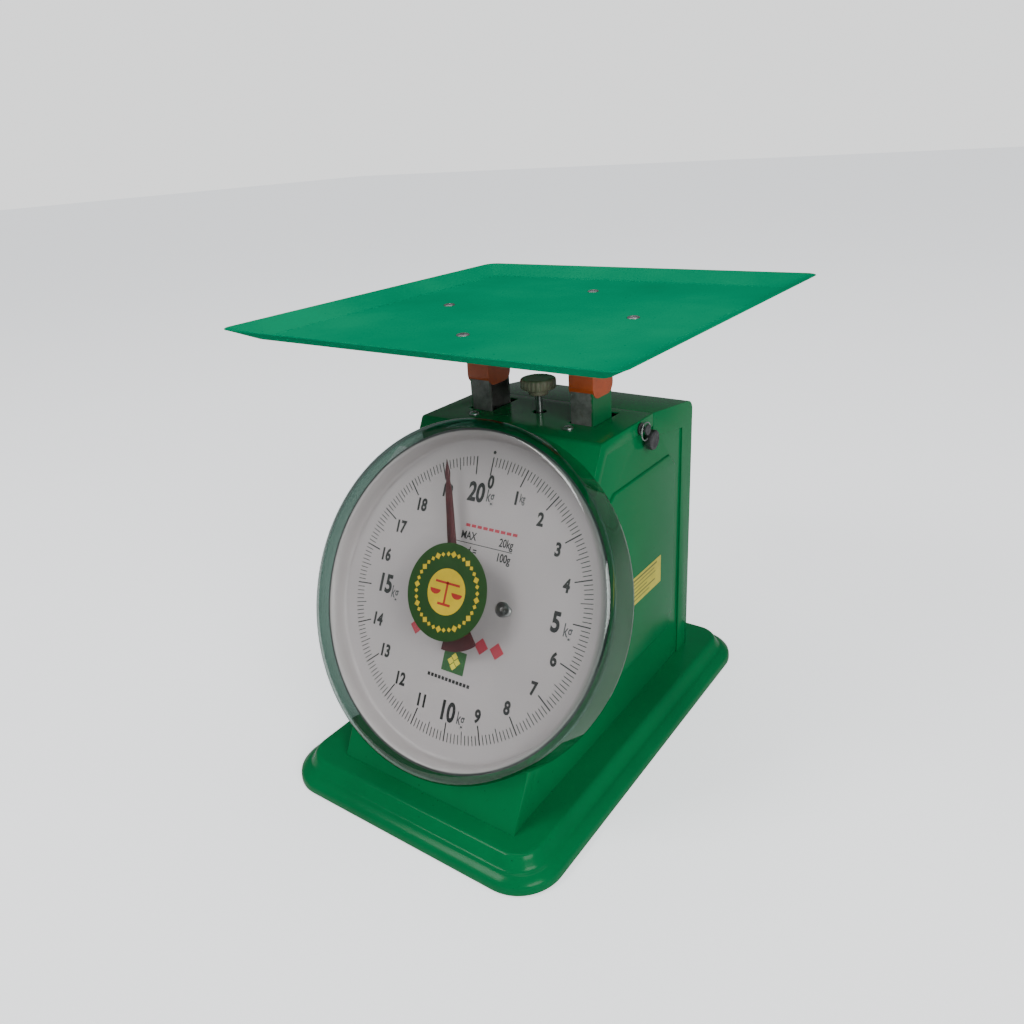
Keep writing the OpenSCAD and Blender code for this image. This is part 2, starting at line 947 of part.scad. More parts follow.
// Ring of wire that hangs on the neck of the seal screw.
module seal_wire() {
    color("silver")
        translate([half_w + 3.2, seal_y, seal_z])
            rotate([seal_angle, 0, 0])
                wire_ring_solid(wire_r);
}

// Ring of the seal wire, with its top hooked over the neck of the seal screw.
module wire_ring_solid(r) {
    translate([0, 0, -3.1])
        rotate([0, 90, 0])
            rotate_extrude($fn = 64)
                translate([wire_loop, 0])
                    circle(r, $fn = 16);
}

module lead_seal() {
    color("dimgray")
        translate([half_w + 3.2, seal_y, seal_z])
            rotate([seal_angle, 0, 0])
                difference() {
                    translate([-1.9, 0, -14.6])
                        rotate([0, 90, 0])
                            cylinder(r = 6.8, h = 4.8);
                    wire_ring_solid(wire_r + 0.05);
                }
}

module side_label() {
    color("gold")
        translate([inner_w + field_t, label_y - 25, label_z - 10.8])
            cube([0.2, 50, 21.6]);
}

base_pan();
foot(-1, -1);  // foot_front_left
foot(1, -1);  // foot_front_right
foot(-1, 1);  // foot_back_left
foot(1, 1);  // foot_back_right
front_top_cover();
side_panel(-1);  // side_panel_left
side_panel(1);  // side_panel_right
back_cover();
top_screw(-1);  // top_screw_left
top_screw(1);  // top_screw_right
back_screws();
frame_plate(-1);  // frame_plate_left
frame_plate(1);  // frame_plate_right
frame_bridge();
pivot_rod(upper_pin_z);  // upper_pivot_rod
pivot_rod(lower_pin_z);  // lower_pivot_rod
lever(upper_pin_z);  // upper_lever
lever(lower_pin_z);  // lower_lever
link_pin(-1, upper_pin_z);  // upper_pin_left
link_pin(1, upper_pin_z);  // upper_pin_right
link_pin(-1, lower_pin_z);  // lower_pin_left
link_pin(1, lower_pin_z);  // lower_pin_right
zero_knob();
zero_screw();
spring_hanger();
main_spring(-1);  // main_spring_left
main_spring(1);  // main_spring_right
load_post(-1);  // load_post_left
load_post(1);  // load_post_right
load_crossbar();
rack_arm();
movement_front_plate();
movement_back_plate();
movement_pillars();
rack();
rack_foot_pin();
rack_roller();
pinion_arbor();
pointer_hub();
pointer();
dial_plate();
dial_post(-1);  // dial_post_left
dial_post(1);  // dial_post_right
dial_screw(-1);  // dial_screw_left
dial_screw(1);  // dial_screw_right
clear_cover();
cover_sticker();
platform_tray();
platform_cross();
platform_screw(screw_spots()[0]);  // platform_screw_left
platform_screw(screw_spots()[1]);  // platform_screw_right
platform_screw(screw_spots()[2]);  // platform_screw_front
platform_screw(screw_spots()[3]);  // platform_screw_back
post_cap(-1);  // post_cap_left
post_cap(1);  // post_cap_right
seal_screw();
seal_wire();
lead_seal();
side_label();
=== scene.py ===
"""Looks of a green spring dial platform scale, laid out as an add-on and run as a script.

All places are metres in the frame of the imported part: +Z up, -Y the dial side.
"""

import json
import math

import bmesh
import bpy
from bpy.props import FloatProperty, FloatVectorProperty, IntProperty, PointerProperty
from mathutils import Matrix, Vector

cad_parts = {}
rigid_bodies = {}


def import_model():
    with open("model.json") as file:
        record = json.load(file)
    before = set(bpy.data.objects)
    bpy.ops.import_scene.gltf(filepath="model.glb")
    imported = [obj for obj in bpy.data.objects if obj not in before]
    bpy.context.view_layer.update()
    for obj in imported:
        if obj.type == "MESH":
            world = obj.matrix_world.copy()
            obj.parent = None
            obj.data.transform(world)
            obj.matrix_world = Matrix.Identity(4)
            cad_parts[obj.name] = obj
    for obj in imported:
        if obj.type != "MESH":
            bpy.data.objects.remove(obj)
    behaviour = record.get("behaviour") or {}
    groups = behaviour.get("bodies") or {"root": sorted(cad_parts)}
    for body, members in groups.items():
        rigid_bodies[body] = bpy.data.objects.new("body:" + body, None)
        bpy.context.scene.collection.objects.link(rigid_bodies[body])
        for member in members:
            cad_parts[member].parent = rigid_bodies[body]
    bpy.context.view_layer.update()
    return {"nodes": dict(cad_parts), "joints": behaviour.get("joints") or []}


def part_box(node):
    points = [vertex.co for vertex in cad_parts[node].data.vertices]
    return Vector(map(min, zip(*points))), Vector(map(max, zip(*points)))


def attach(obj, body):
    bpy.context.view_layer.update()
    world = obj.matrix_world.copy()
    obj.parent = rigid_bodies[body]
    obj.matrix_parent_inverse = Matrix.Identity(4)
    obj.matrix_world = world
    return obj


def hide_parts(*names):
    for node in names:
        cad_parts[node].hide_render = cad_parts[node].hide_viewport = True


bl_info = {
    "name": "Dial Platform Scale",
    "version": (1, 0, 0),
    "blender": (4, 5, 0),
    "location": "View3D > Sidebar > Dial Scale",
    "description": "Builds the painted casing, dial, platform and mechanism of a spring dial scale",
    "category": "Object",
}

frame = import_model()

MM = 0.001
UPRIGHT = Matrix.Identity(3)


def joint(name):
    """The joint of that name from the part's record."""
    return next(j for j in frame["joints"] if j["name"] == name)


# The dial's own frame: x to the reader's right, y up the slope, z out of the face.
DIAL_CENTRE = Vector(joint("pointer_turn")["pos_m"])
DIAL_NORMAL = -Vector(joint("pointer_turn")["axis"]).normalized()
DIAL_UP = Vector((0, DIAL_NORMAL.z, -DIAL_NORMAL.y))
DIAL = Matrix.Translation(DIAL_CENTRE) @ Matrix(
    ((1, DIAL_UP.x, DIAL_NORMAL.x), (0, DIAL_UP.y, DIAL_NORMAL.y), (0, DIAL_UP.z, DIAL_NORMAL.z))
).to_4x4()

TRAY_LOW, TRAY_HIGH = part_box("platform_tray")
BASE_LOW, BASE_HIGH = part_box("base_pan")
CASE_LOW, CASE_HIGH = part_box("front_top_cover")
LOAD_Y = (TRAY_LOW.y + TRAY_HIGH.y) / 2

# Outer radius of the ring of marks, and the pointer's turn for one kilogram.
SCALE_R = 92 * MM
KG_TURN = math.radians(17.6)
# The print sits on the plate a degree anticlockwise of upright.
PRINT = DIAL @ Matrix.Rotation(math.radians(1), 4, "Z")
PRINT_THICKNESS = 0.12 * MM

# A profile point nearer the axis than this is a pole, and two vertices nearer than this are one.
POLE_R = 1e-7
WELD = 1e-6


# ---------- settings a user may change ----------

class PaintSettings(bpy.types.PropertyGroup):
    """Colours of the painted and moulded pieces."""

    casing: FloatVectorProperty(
        name="Casing enamel", description="Colour of the enamel on the casing and base",
        subtype="COLOR", size=3, min=0, max=1, default=(0.0, 0.170, 0.052))
    platform: FloatVectorProperty(
        name="Platform enamel", description="Colour of the enamel on the platform",
        subtype="COLOR", size=3, min=0, max=1, default=(0.0, 0.270, 0.125))
    dial: FloatVectorProperty(
        name="Dial white", description="Ground colour of the printed dial",
        subtype="COLOR", size=3, min=0, max=1, default=(0.36, 0.325, 0.330))
    pointer: FloatVectorProperty(
        name="Pointer red", description="Colour of the pointer",
        subtype="COLOR", size=3, min=0, max=1, default=(0.060, 0.008, 0.010))
    cap: FloatVectorProperty(
        name="Stop cap", description="Colour of the plastic caps under the platform",
        subtype="COLOR", size=3, min=0, max=1, default=(0.52, 0.085, 0.018))


class SizeSettings(bpy.types.PropertyGroup):
    """Sizes of the finishing detail."""

    bend: FloatProperty(
        name="Sheet bend", description="Outer radius where the casing sheet is folded",
        default=1.9 * MM, min=0.2 * MM, max=3 * MM, unit="LENGTH")
    deburr: FloatProperty(
        name="Broken edge", description="Rounding of the cut edges of sheet and plate",
        default=0.3 * MM, min=0.05 * MM, max=1 * MM, unit="LENGTH")
    mark_width: FloatProperty(
        name="Mark width", description="Width of a kilogram mark on the dial",
        default=0.78 * MM, min=0.2 * MM, max=1.5 * MM, unit="LENGTH")
    capacity: IntProperty(
        name="Capacity", description="Last numeral on the dial, in kilograms", default=20, min=5, max=20)


# ---------- shared mesh helpers ----------

def paint():
    return bpy.context.scene.scale_paint


def sizes():
    return bpy.context.scene.scale_sizes


def new_object(name, data):
    """Links a new object with that mesh, curve, lamp or camera to the scene."""
    obj = bpy.data.objects.new(name, data)
    bpy.context.scene.collection.objects.link(obj)
    return obj


def middle_of(node, z=None):
    """Middle of a node's box at rest, or the point of that height above or below it."""
    low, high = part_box(node)
    middle = (low + high) / 2
    if z is not None:
        middle.z = z
    return middle


def from_bmesh(name, bm, smooth_angle=35):
    """Turns a bmesh into a linked object, smooth but for edges sharper than the angle."""
    bmesh.ops.remove_doubles(bm, verts=bm.verts, dist=WELD)
    bmesh.ops.recalc_face_normals(bm, faces=bm.faces)
    mesh = bpy.data.meshes.new(name)
    bm.to_mesh(mesh)
    bm.free()
    soften(mesh, smooth_angle)
    return new_object(name, mesh)


def soften(mesh, angle=35):
    mesh.polygons.foreach_set("use_smooth", [True] * len(mesh.polygons))
    mesh.set_sharp_from_angle(angle=math.radians(angle))
    mesh.update()


def dress(obj, body, material=None, nodes=()):
    """Gives a finished piece its material and body, and hides the nodes that it stands for."""
    if material is not None:
        obj.data.materials.clear()
        obj.data.materials.append(material)
    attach(obj, body)
    if nodes:
        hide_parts(*nodes)
    return obj


def bridge_loops(bm, loops, closed):
    """Faces between neighbouring rings of vertices; the last joins the first when closed."""
    count = len(loops[0])
    pairs = list(zip(loops, loops[1:]))
    if closed:
        pairs.append((loops[-1], loops[0]))
    for a, b in pairs:
        for i in range(count):
            j = (i + 1) % count
            corners = []
            for v in (a[i], a[j], b[j], b[i]):
                if v not in corners:
                    corners.append(v)
            if len(corners) > 2:
                bm.faces.new(corners)


def ring_round_z(bm, r, z, segments):
    """A ring of vertices round z; where the radius is zero it is one pole, repeated."""
    if r < POLE_R:
        return [bm.verts.new((0, 0, z))] * segments
    return [bm.verts.new((x, y, z)) for x, y in disc_points(0, 0, r, segments)]


def lathe(name, profile, place=None, segments=96, closed=False, smooth_angle=35):
    """Spins a profile of (radius, height) pairs round z; a radius of zero closes to a pole."""
    bm = bmesh.new()
    loops = [ring_round_z(bm, r, z, segments) for r, z in profile]
    bridge_loops(bm, loops, closed)
    if place is not None:
        bmesh.ops.transform(bm, matrix=place, verts=bm.verts)
    return from_bmesh(name, bm, smooth_angle)


def disc_points(cx, cy, r, count, start=0.0):
    """Points evenly round a circle; four of them make a diamond."""
    angles = [start + 2 * math.pi * i / count for i in range(count)]
    return [(cx + r * math.cos(a), cy + r * math.sin(a)) for a in angles]


def bar_points(cx, cy, w, h):
    """Corners of an upright rectangle."""
    return [(cx + i * w / 2, cy + j * h / 2) for i, j in ((-1, -1), (1, -1), (1, 1), (-1, 1))]


def arc(cx, cz, r, start, end, steps):
    """Points of an arc in a profile, from one angle to another in degrees."""
    out = []
    for i in range(steps + 1):
        a = math.radians(start + (end - start) * i / steps)
        out.append((cx + r * math.cos(a), cz + r * math.sin(a)))
    return out


def rounded_outline(w, d, r, steps):
    """Corner-rounded rectangle as a loop of (x, y), with the same count whatever the radius."""
    out = []
    for cx, cy, start in ((1, 1, 0), (-1, 1, 90), (-1, -1, 180), (1, -1, 270)):
        for i in range(steps + 1):
            a = math.radians(start + 90 * i / steps)
            out.append((cx * (w / 2 - r) + r * math.cos(a), cy * (d / 2 - r) + r * math.sin(a)))
    return out


def pressed_sheet(name, rings, centre, steps, smooth_angle=30):
    """Pressed sheet from (width, depth, corner radius, z) layers, closed at both ends."""
    bm = bmesh.new()
    loops = []
    for w, d, r, z in rings:
        outline = rounded_outline(w, d, r, steps)
        loops.append([bm.verts.new((x + centre.x, y + centre.y, z)) for x, y in outline])
    bridge_loops(bm, loops, False)
    bm.faces.new(loops[0])
    bm.faces.new(loops[-1])
    return from_bmesh(name, bm, smooth_angle)


def in_mm(points):
    """Points given in millimetres, turned to metres."""
    return [(a * MM, b * MM) for a, b in points]


def merged_copy(node):
    """A bmesh of a CAD node with its triangles merged and its flat faces joined up."""
    bm = bmesh.new()
    bm.from_mesh(frame["nodes"][node].data)
    flat = math.radians(0.8)
    bmesh.ops.remove_doubles(bm, verts=bm.verts, dist=2 * WELD)
    bmesh.ops.dissolve_limit(bm, angle_limit=flat, verts=bm.verts, edges=bm.edges, delimit={"NORMAL"})
    return bm


def rounded_copy(name, node, fine_r, wide=None, wide_r=0.0, shortest=6 * MM, segments=3):
    """Copies a CAD node with its long edges rounded: by wide_r where wide() says so, else by fine_r."""
    sharp = math.radians(28)
    bm = merged_copy(node)
    weight = bm.edges.layers.float.new("bevel_weight_edge")
    top = max(wide_r, fine_r)
    for edge in bm.edges:
        if len(edge.link_faces) != 2 or edge.calc_length() < shortest:
            continue
        if edge.calc_face_angle(0) < sharp:
            continue
        a, b = edge.verts[0].co, edge.verts[1].co
        r = wide_r if wide is not None and wide(a, b) else fine_r
        edge[weight] = r / top
    mesh = bpy.data.meshes.new(name)
    bm.to_mesh(mesh)
    bm.free()
    obj = new_object(name, mesh)
    bevel = obj.modifiers.new("Rounding", "BEVEL")
    bevel.limit_method = "WEIGHT"
    bevel.width = top
    bevel.segments = segments
    bevel.use_clamp_overlap = False
    bevel.harden_normals = False
    return settle(obj, 32)


def evaluated_mesh(obj):
    """A plain mesh of an object as its modifiers, or its curve, make it."""
    bpy.context.view_layer.update()
    graph = bpy.context.evaluated_depsgraph_get()
    return bpy.data.meshes.new_from_object(
        obj.evaluated_get(graph), preserve_all_data_layers=True, depsgraph=graph)


def settle(obj, angle):
    """Replaces an object's mesh by its evaluated mesh and takes its modifiers off."""
    mesh = evaluated_mesh(obj)
    mesh.name = obj.name
    obj.modifiers.clear()
    old = obj.data
    obj.data = mesh
    bpy.data.meshes.remove(old)
    soften(mesh, angle)
    return obj


def joined(name, parts):
    """Joins several loose objects into one piece of that name."""
    bm = bmesh.new()
    for part in parts:
        bm.from_mesh(part.data)
    mesh = bpy.data.meshes.new(name)
    bm.to_mesh(mesh)
    bm.free()
    for part in parts:
        old = part.data
        bpy.data.objects.remove(part)
        bpy.data.meshes.remove(old)
    soften(mesh, 35)
    return new_object(name, mesh)


# ---------- node helpers ----------

def link_or_set(tree, socket, value):
    """Links a node's input to another socket, or sets it to a plain value."""
    if isinstance(value, bpy.types.NodeSocket):
        tree.links.new(value, socket)
    else:
        socket.default_value = value


def math_output(tree, operation, a, b):
    """Adds a Math node on two sockets or numbers and gives its result."""
    n = tree.nodes.new("ShaderNodeMath")
    n.operation = operation
    link_or_set(tree, n.inputs[0], a)
    link_or_set(tree, n.inputs[1], b)
    return n.outputs[0]


def surface_by_ray(tree, output, kind, usual, chosen):
    """Gives an output node one shader for rays of that kind, and the usual one for all others."""
    path = tree.nodes.new("ShaderNodeLightPath")
    mixer = tree.nodes.new("ShaderNodeMixShader")
    tree.links.new(path.outputs[kind], mixer.inputs[0])
    tree.links.new(usual.outputs[0], mixer.inputs[1])
    tree.links.new(chosen.outputs[0], mixer.inputs[2])
    tree.links.new(mixer.outputs[0], tree.nodes[output].inputs["Surface"])


class Tree:
    """A Geometry Nodes tree under construction, with named inputs."""

    def __init__(self, name, inputs):
        self.group = bpy.data.node_groups.new(name, "GeometryNodeTree")
        face = self.group.interface
        self.ids = {}
        face.new_socket("Geometry", in_out="INPUT", socket_type="NodeSocketGeometry")
        for label, kind, value in inputs:
            socket = face.new_socket(label, in_out="INPUT", socket_type=kind)
            if value is not None:
                socket.default_value = value
            self.ids[label] = socket.identifier
        face.new_socket("Geometry", in_out="OUTPUT", socket_type="NodeSocketGeometry")
        self.get = self.group.nodes.new("NodeGroupInput").outputs
        self.out = self.group.nodes.new("NodeGroupOutput")

    def node(self, kind, settings=None, **inputs):
        """Adds a node, sets its properties, and links or sets its inputs, with _ for a space."""
        n = self.group.nodes.new(kind)
        for key, value in (settings or {}).items():
            setattr(n, key, value)
        for key, value in inputs.items():
            link_or_set(self.group, n.inputs[key.replace("_", " ")], value)
        return n

    def math(self, operation, a, b=0.0):
        return math_output(self.group, operation, a, b)

    def finish(self, geometry):
        """Ends the tree: real geometry instead of instances, in the tree's material."""
        real = self.node("GeometryNodeRealizeInstances", Geometry=geometry)
        painted = self.node(
            "GeometryNodeSetMaterial", Geometry=real.outputs[0], Material=self.get["Material"])
        self.group.links.new(painted.outputs[0], self.out.inputs[0])


def run_tree(name, tree, values, mesh=None, angle=35):
    """Applies a tree to a new object, sets its inputs by identifier and keeps the plain mesh."""
    obj = new_object(name, mesh or bpy.data.meshes.new(name))
    modifier = obj.modifiers.new("Build", "NODES")
    modifier.node_group = tree.group
    for label, value in values.items():
        modifier[tree.ids[label]] = value
    return settle(obj, angle)


def copies_tree():
    """Tree that stands a copy of a prototype at each point, turned by the point's 'turn' vector."""
    tree = Tree("Copies at places", [
        ("Prototype", "NodeSocketObject", None),
        ("Material", "NodeSocketMaterial", None),
    ])
    info = tree.node("GeometryNodeObjectInfo", Object=tree.get["Prototype"])
    turn = tree.node("GeometryNodeInputNamedAttribute", {"data_type": "FLOAT_VECTOR"}, Name="turn")
    points = tree.node("GeometryNodeMeshToPoints", Mesh=tree.get["Geometry"])
    place = tree.node(
        "GeometryNodeInstanceOnPoints",
        Points=points.outputs[0], Instance=info.outputs["Geometry"], Rotation=turn.outputs[0])
    tree.finish(place.outputs[0])
    return tree


def copies(name, prototype, places, material):
    """One piece with a copy of the prototype at each (position, turn matrix); the prototype is removed."""
    mesh = bpy.data.meshes.new(name)
    mesh.from_pydata([tuple(p) for p, _ in places], [], [])
    turn = mesh.attributes.new("turn", "FLOAT_VECTOR", "POINT")
    for entry, (_, matrix) in zip(turn.data, places):
        entry.vector = matrix.to_euler()
    tree = copies_tree()
    piece = run_tree(name, tree, {"Prototype": prototype, "Material": material}, mesh)
    bpy.data.objects.remove(prototype)
    bpy.data.node_groups.remove(tree.group)
    return piece


# ---------- materials ----------

class Shader:
    """A node material under construction, patterned on Object coordinates."""

    def __init__(self, name):
        self.material = bpy.data.materials.new(name)
        self.material.use_nodes = True
        self.tree = self.material.node_tree
        self.nodes = self.tree.nodes
        self.bsdf = self.nodes["Principled BSDF"]
        self.coords = self.nodes.new("ShaderNodeTexCoord").outputs["Object"]

    def link(self, a, b):
        self.tree.links.new(a, b)

    def noise(self, scale, detail, rough=0.55, stretch=None):
        n = self.nodes.new("ShaderNodeTexNoise")
        n.inputs["Scale"].default_value = scale
        n.inputs["Detail"].default_value = detail
        n.inputs["Roughness"].default_value = rough
        source = self.coords
        if stretch is not None:
            mapping = self.nodes.new("ShaderNodeMapping")
            mapping.inputs["Scale"].default_value = stretch
            self.link(self.coords, mapping.inputs["Vector"])
            source = mapping.outputs[0]
        self.link(source, n.inputs["Vector"])
        return n.outputs["Fac"]

    def ramp(self, fac, *stops):
        """Colour ramp of (position, colour) stops; a number stands for a grey."""
        n = self.nodes.new("ShaderNodeValToRGB")
        while len(n.color_ramp.elements) < len(stops):
            n.color_ramp.elements.new(0.5)
        for element, (at, colour) in zip(n.color_ramp.elements, stops):
            element.position = at
            rgb = (colour,) * 3 if isinstance(colour, (int, float)) else tuple(colour)
            element.color = (*rgb[:3], 1)
        self.link(fac, n.inputs[0])
        return n.outputs[0]

    def mix(self, fac, a, b):
        """Mixes two colours, each a socket or an (r, g, b), by a factor that is a socket."""
        n = self.nodes.new("ShaderNodeMix")
        n.data_type = "RGBA"
        colour_inputs = [socket for socket in n.inputs if socket.type == "RGBA"]
        self.link(fac, n.inputs["Factor"])
        for socket, value in zip(colour_inputs, (a, b)):
            link_or_set(self.tree, socket, (*value, 1) if isinstance(value, tuple) else value)
        return next(socket for socket in n.outputs if socket.type == "RGBA")

    def math(self, operation, a, b=0.0):
        return math_output(self.tree, operation, a, b)

    def times(self, a, b):
        return self.math("MULTIPLY", a, b)

    def toned(self, scale, detail, colour, dark, light, rough=0.55):
        """A colour that drifts between a darker and a lighter shade of itself."""
        cloud = self.noise(scale, detail, rough)
        return self.ramp(cloud, (0.30, shade(colour, dark)), (0.70, shade(colour, light)))

    def from_dial_centre(self):
        """Distance of the shaded point from the middle of the dial, in metres."""
        n = self.nodes.new("ShaderNodeVectorMath")
        n.operation = "DISTANCE"
        self.link(self.coords, n.inputs[0])
        n.inputs[1].default_value = DIAL_CENTRE
        return n.outputs["Value"]


    def axis(self, index):
        """One of the Object coordinates: 0, 1 or 2 for x, y or z."""
        n = self.nodes.new("ShaderNodeSeparateXYZ")
        self.link(self.coords, n.inputs[0])
        return n.outputs[index]

    def bump(self, height, distance, strength):
        n = self.nodes.new("ShaderNodeBump")
        n.inputs["Distance"].default_value = distance
        n.inputs["Strength"].default_value = strength
        self.link(height, n.inputs["Height"])
        self.link(n.outputs[0], self.bsdf.inputs["Normal"])

    def colour(self, socket):
        self.link(socket, self.bsdf.inputs["Base Color"])

    def rough(self, fac, low, high):
        n = self.nodes.new("ShaderNodeMapRange")
        n.inputs["To Min"].default_value = low
        n.inputs["To Max"].default_value = high
        self.link(fac, n.inputs["Value"])
        self.link(n.outputs[0], self.bsdf.inputs["Roughness"])

    def set(self, **values):
        for key, value in values.items():
            self.bsdf.inputs[key.replace("_", " ")].default_value = value


def shade(colour, factor):
    """A darker or lighter shade of a colour."""
    return tuple(min(1.0, c * factor) for c in colour)


MATERIALS = {}


def material(key):
    """A finish by name, made the first time that it is asked for."""
    if key not in MATERIALS:
        MATERIALS[key] = FINISHES[key]()
    return MATERIALS[key]


def enamel(name, colour, rough_low, rough_high, grime, sheen):
    """Sprayed enamel: faint orange peel, slow changes of tone, fine dust and a few dark nicks."""
    s = Shader(name)
    base = s.toned(9.0, 3.0, colour, 0.86, 1.12)
    dust = s.ramp(s.noise(140.0, 5.0, 0.7), (0.55, 0.0), (0.80, 1.0))
    dusty = s.mix(s.times(dust, grime), base, (0.16, 0.24, 0.18))
    nicks = s.ramp(s.noise(420.0, 2.0, 0.5), (0.735, 0.0), (0.755, 1.0))
    s.colour(s.mix(s.times(nicks, 0.55), dusty, shade(colour, 0.25)))
    s.rough(s.noise(34.0, 4.0, 0.6), rough_low, rough_high)
    s.set(IOR=1.45, Specular_IOR_Level=sheen)
    peel = s.math("ADD", s.times(s.noise(950.0, 2.0), 0.35), s.noise(230.0, 2.0))
    s.bump(peel, 0.06 * MM, 0.35)
    return s.material


def casing_enamel():
    return enamel("Casing enamel", paint().casing, 0.15, 0.24, 0.02, 0.14)


def platform_enamel():
    return enamel("Platform enamel", paint().platform, 0.24, 0.36, 0.01, 0.0)


def metal(name, colour, dark, rough_low, rough_high, stain):
    """Bare or plated metal: mottled tone, darker stains, uneven polish."""
    s = Shader(name)
    spangle = s.noise(160.0, 4.0, 0.65)
    base = s.ramp(spangle, (0.30, dark), (0.68, colour))
    stains = s.ramp(s.noise(38.0, 5.0, 0.7), (0.52, 0.0), (0.72, 1.0))
    s.colour(s.mix(s.times(stains, stain), base, shade(dark, 0.45)))
    s.rough(s.noise(260.0, 3.0, 0.6), rough_low, rough_high)
    s.set(Metallic=1.0)
    s.bump(s.noise(900.0, 2.0, 0.5), 0.04 * MM, 0.3)
    return s.material


def zinc_steel():
    return metal("Zinc plated steel", (0.56, 0.57, 0.56), (0.36, 0.37, 0.38), 0.26, 0.42, 0.35)


def frame_steel():
    return metal("Rolled frame steel", (0.34, 0.35, 0.36), (0.20, 0.205, 0.21), 0.36, 0.58, 0.6)


def spring_steel():
    return metal("Spring steel", (0.42, 0.43, 0.45), (0.22, 0.22, 0.24), 0.22, 0.36, 0.3)


def brass():
    return metal("Brass", (0.78, 0.56, 0.22), (0.52, 0.34, 0.12), 0.20, 0.38, 0.3)


def lead():
    return metal("Lead", (0.20, 0.20, 0.21), (0.08, 0.08, 0.085), 0.45, 0.68, 0.6)


def post_enamel():
    """Casing green on the outer face of the posts, and bare grey steel elsewhere with ragged paint edges."""
    paint_from, raggedness = 48.7 * MM, 4 * MM
    s = Shader("Part painted post")
    sideways = s.math("ABSOLUTE", s.axis(0))
    ragged = s.math("ADD", sideways, s.times(s.noise(130.0, 4.0, 0.7), raggedness))
    painted = s.ramp(s.times(s.math("SUBTRACT", ragged, paint_from), 400.0), (0.35, 0.0), (0.75, 1.0))
    steel = s.ramp(s.noise(120.0, 4.0, 0.7), (0.30, (0.10, 0.10, 0.095)), (0.72, (0.24, 0.235, 0.225)))
    green = s.toned(30.0, 3.0, paint().casing, 0.75, 1.05)
    rust = s.ramp(s.noise(260.0, 4.0, 0.7), (0.60, 0.0), (0.70, 1.0))
    bare = s.mix(s.times(rust, 0.6), steel, (0.11, 0.045, 0.02))
    s.colour(s.mix(painted, bare, green))
    s.rough(s.noise(60.0, 4.0), 0.32, 0.52)
    s.bump(s.noise(500.0, 3.0), 0.06 * MM, 0.35)
    return s.material


def moulded(name, colour, rough_low, rough_high, speck):
    """Moulded plastic or rubber: fine matt grain, faint flow marks."""
    s = Shader(name)
    base = s.toned(60.0, 3.0, colour, 0.85, 1.1)
    grime = s.ramp(s.noise(300.0, 4.0, 0.7), (0.56, 0.0), (0.74, 1.0))
    s.colour(s.mix(s.times(grime, speck), base, shade(colour, 0.35)))
    s.rough(s.noise(400.0, 2.0), rough_low, rough_high)
    s.bump(s.noise(1600.0, 2.0), 0.03 * MM, 0.4)
    return s.material


def cap_plastic():
    return moulded("Orange cap plastic", paint().cap, 0.32, 0.46, 0.35)


def knob_plastic():
    # Painted shade: the cream is darkened to about half its brightness, standing in for the shade under the
    # platform.
    return moulded("Cream knob plastic", (0.26, 0.25, 0.17), 0.35, 0.48, 0.3)


def rubber():
    return moulded("Foot rubber", (0.028, 0.028, 0.028), 0.62, 0.80, 0.2)


def pointer_enamel():
    return moulded("Pointer enamel", paint().pointer, 0.28, 0.38, 0.08)


def dial_white():
    """Stoved white of the dial plate, with painted shade darkening it towards the raised rim, and a dark cut
    edge.
    """
    s = Shader("Dial white")
    reach = s.times(s.from_dial_centre(), 9.0)
    # Painted shade: the plate is darkened towards its raised rim, up to 30 per cent of the way to a dim warm
    # grey.
    edge = s.ramp(reach, (0.90, 0.0), (0.985, 1.0))
    cloud = s.toned(16.0, 3.0, paint().dial, 0.965, 1.02)
    specks = s.ramp(s.noise(520.0, 3.0, 0.6), (0.72, 0.0), (0.76, 1.0))
    toned = s.mix(s.times(edge, 0.30), cloud, (0.30, 0.29, 0.27))
    cut_edge = s.ramp(reach, (0.9665, 0.0), (0.9695, 1.0))
    toned = s.mix(cut_edge, toned, (0.03, 0.035, 0.035))
    s.colour(s.mix(s.times(specks, 0.25), toned, (0.38, 0.34, 0.31)))
    s.rough(s.noise(60.0, 3.0), 0.30, 0.42)
    s.bump(s.noise(700.0, 2.0), 0.03 * MM, 0.3)
    return s.material


def ink(name, colour):
    """Printing ink with slightly uneven cover."""
    s = Shader(name)
    cover = s.noise(900.0, 3.0, 0.7)
    s.colour(s.ramp(cover, (0.25, shade(colour, 0.8)), (0.75, shade(colour, 1.25))))
    s.rough(s.noise(300.0, 2.0), 0.42, 0.58)
    return s.material


def clear_plastic():
    """Clear moulded cover that lets the lamps through, with faint scuffs in its polish and a painted green
    reflection on its side.
    """
    s = Shader("Clear cover plastic")
    s.set(Transmission_Weight=1.0, IOR=1.46)
    clear = s.ramp(s.noise(22.0, 3.0), (0.3, (0.965, 0.98, 0.97)), (0.7, (0.99, 0.995, 0.99)))
    # Painted reflection and shade: the drum's side, from 109 mm out, is tinted deeper green than its face,
    # standing in for the green casing and its shade seen in and through the wall.
    wall = s.ramp(s.times(s.from_dial_centre(), 8.0), (0.870, 0.0), (0.915, 1.0))
    s.colour(s.mix(wall, clear, (0.14, 0.30, 0.235)))
    scuffs = s.noise(120.0, 5.0, 0.75, (1.0, 0.35, 1.0))
    s.rough(s.ramp(scuffs, (0.55, 0.0), (0.85, 1.0)), 0.015, 0.12)
    passing = s.nodes.new("ShaderNodeBsdfTransparent")
    passing.inputs[0].default_value = (0.93, 0.95, 0.94, 1)
    surface_by_ray(s.tree, "Material Output", "Is Shadow Ray", s.bsdf, passing)
    return s.material


def vinyl(name, colour, rough=0.34):
    """Printed vinyl with a soft sheen and fine ripples."""
    s = Shader(name)
    s.colour(s.toned(80.0, 4.0, colour, 0.88, 1.1, 0.6))
    s.rough(s.noise(150.0, 3.0), rough - 0.06, rough + 0.08)
    s.bump(s.noise(120.0, 2.0), 0.05 * MM, 0.4)
    return s.material


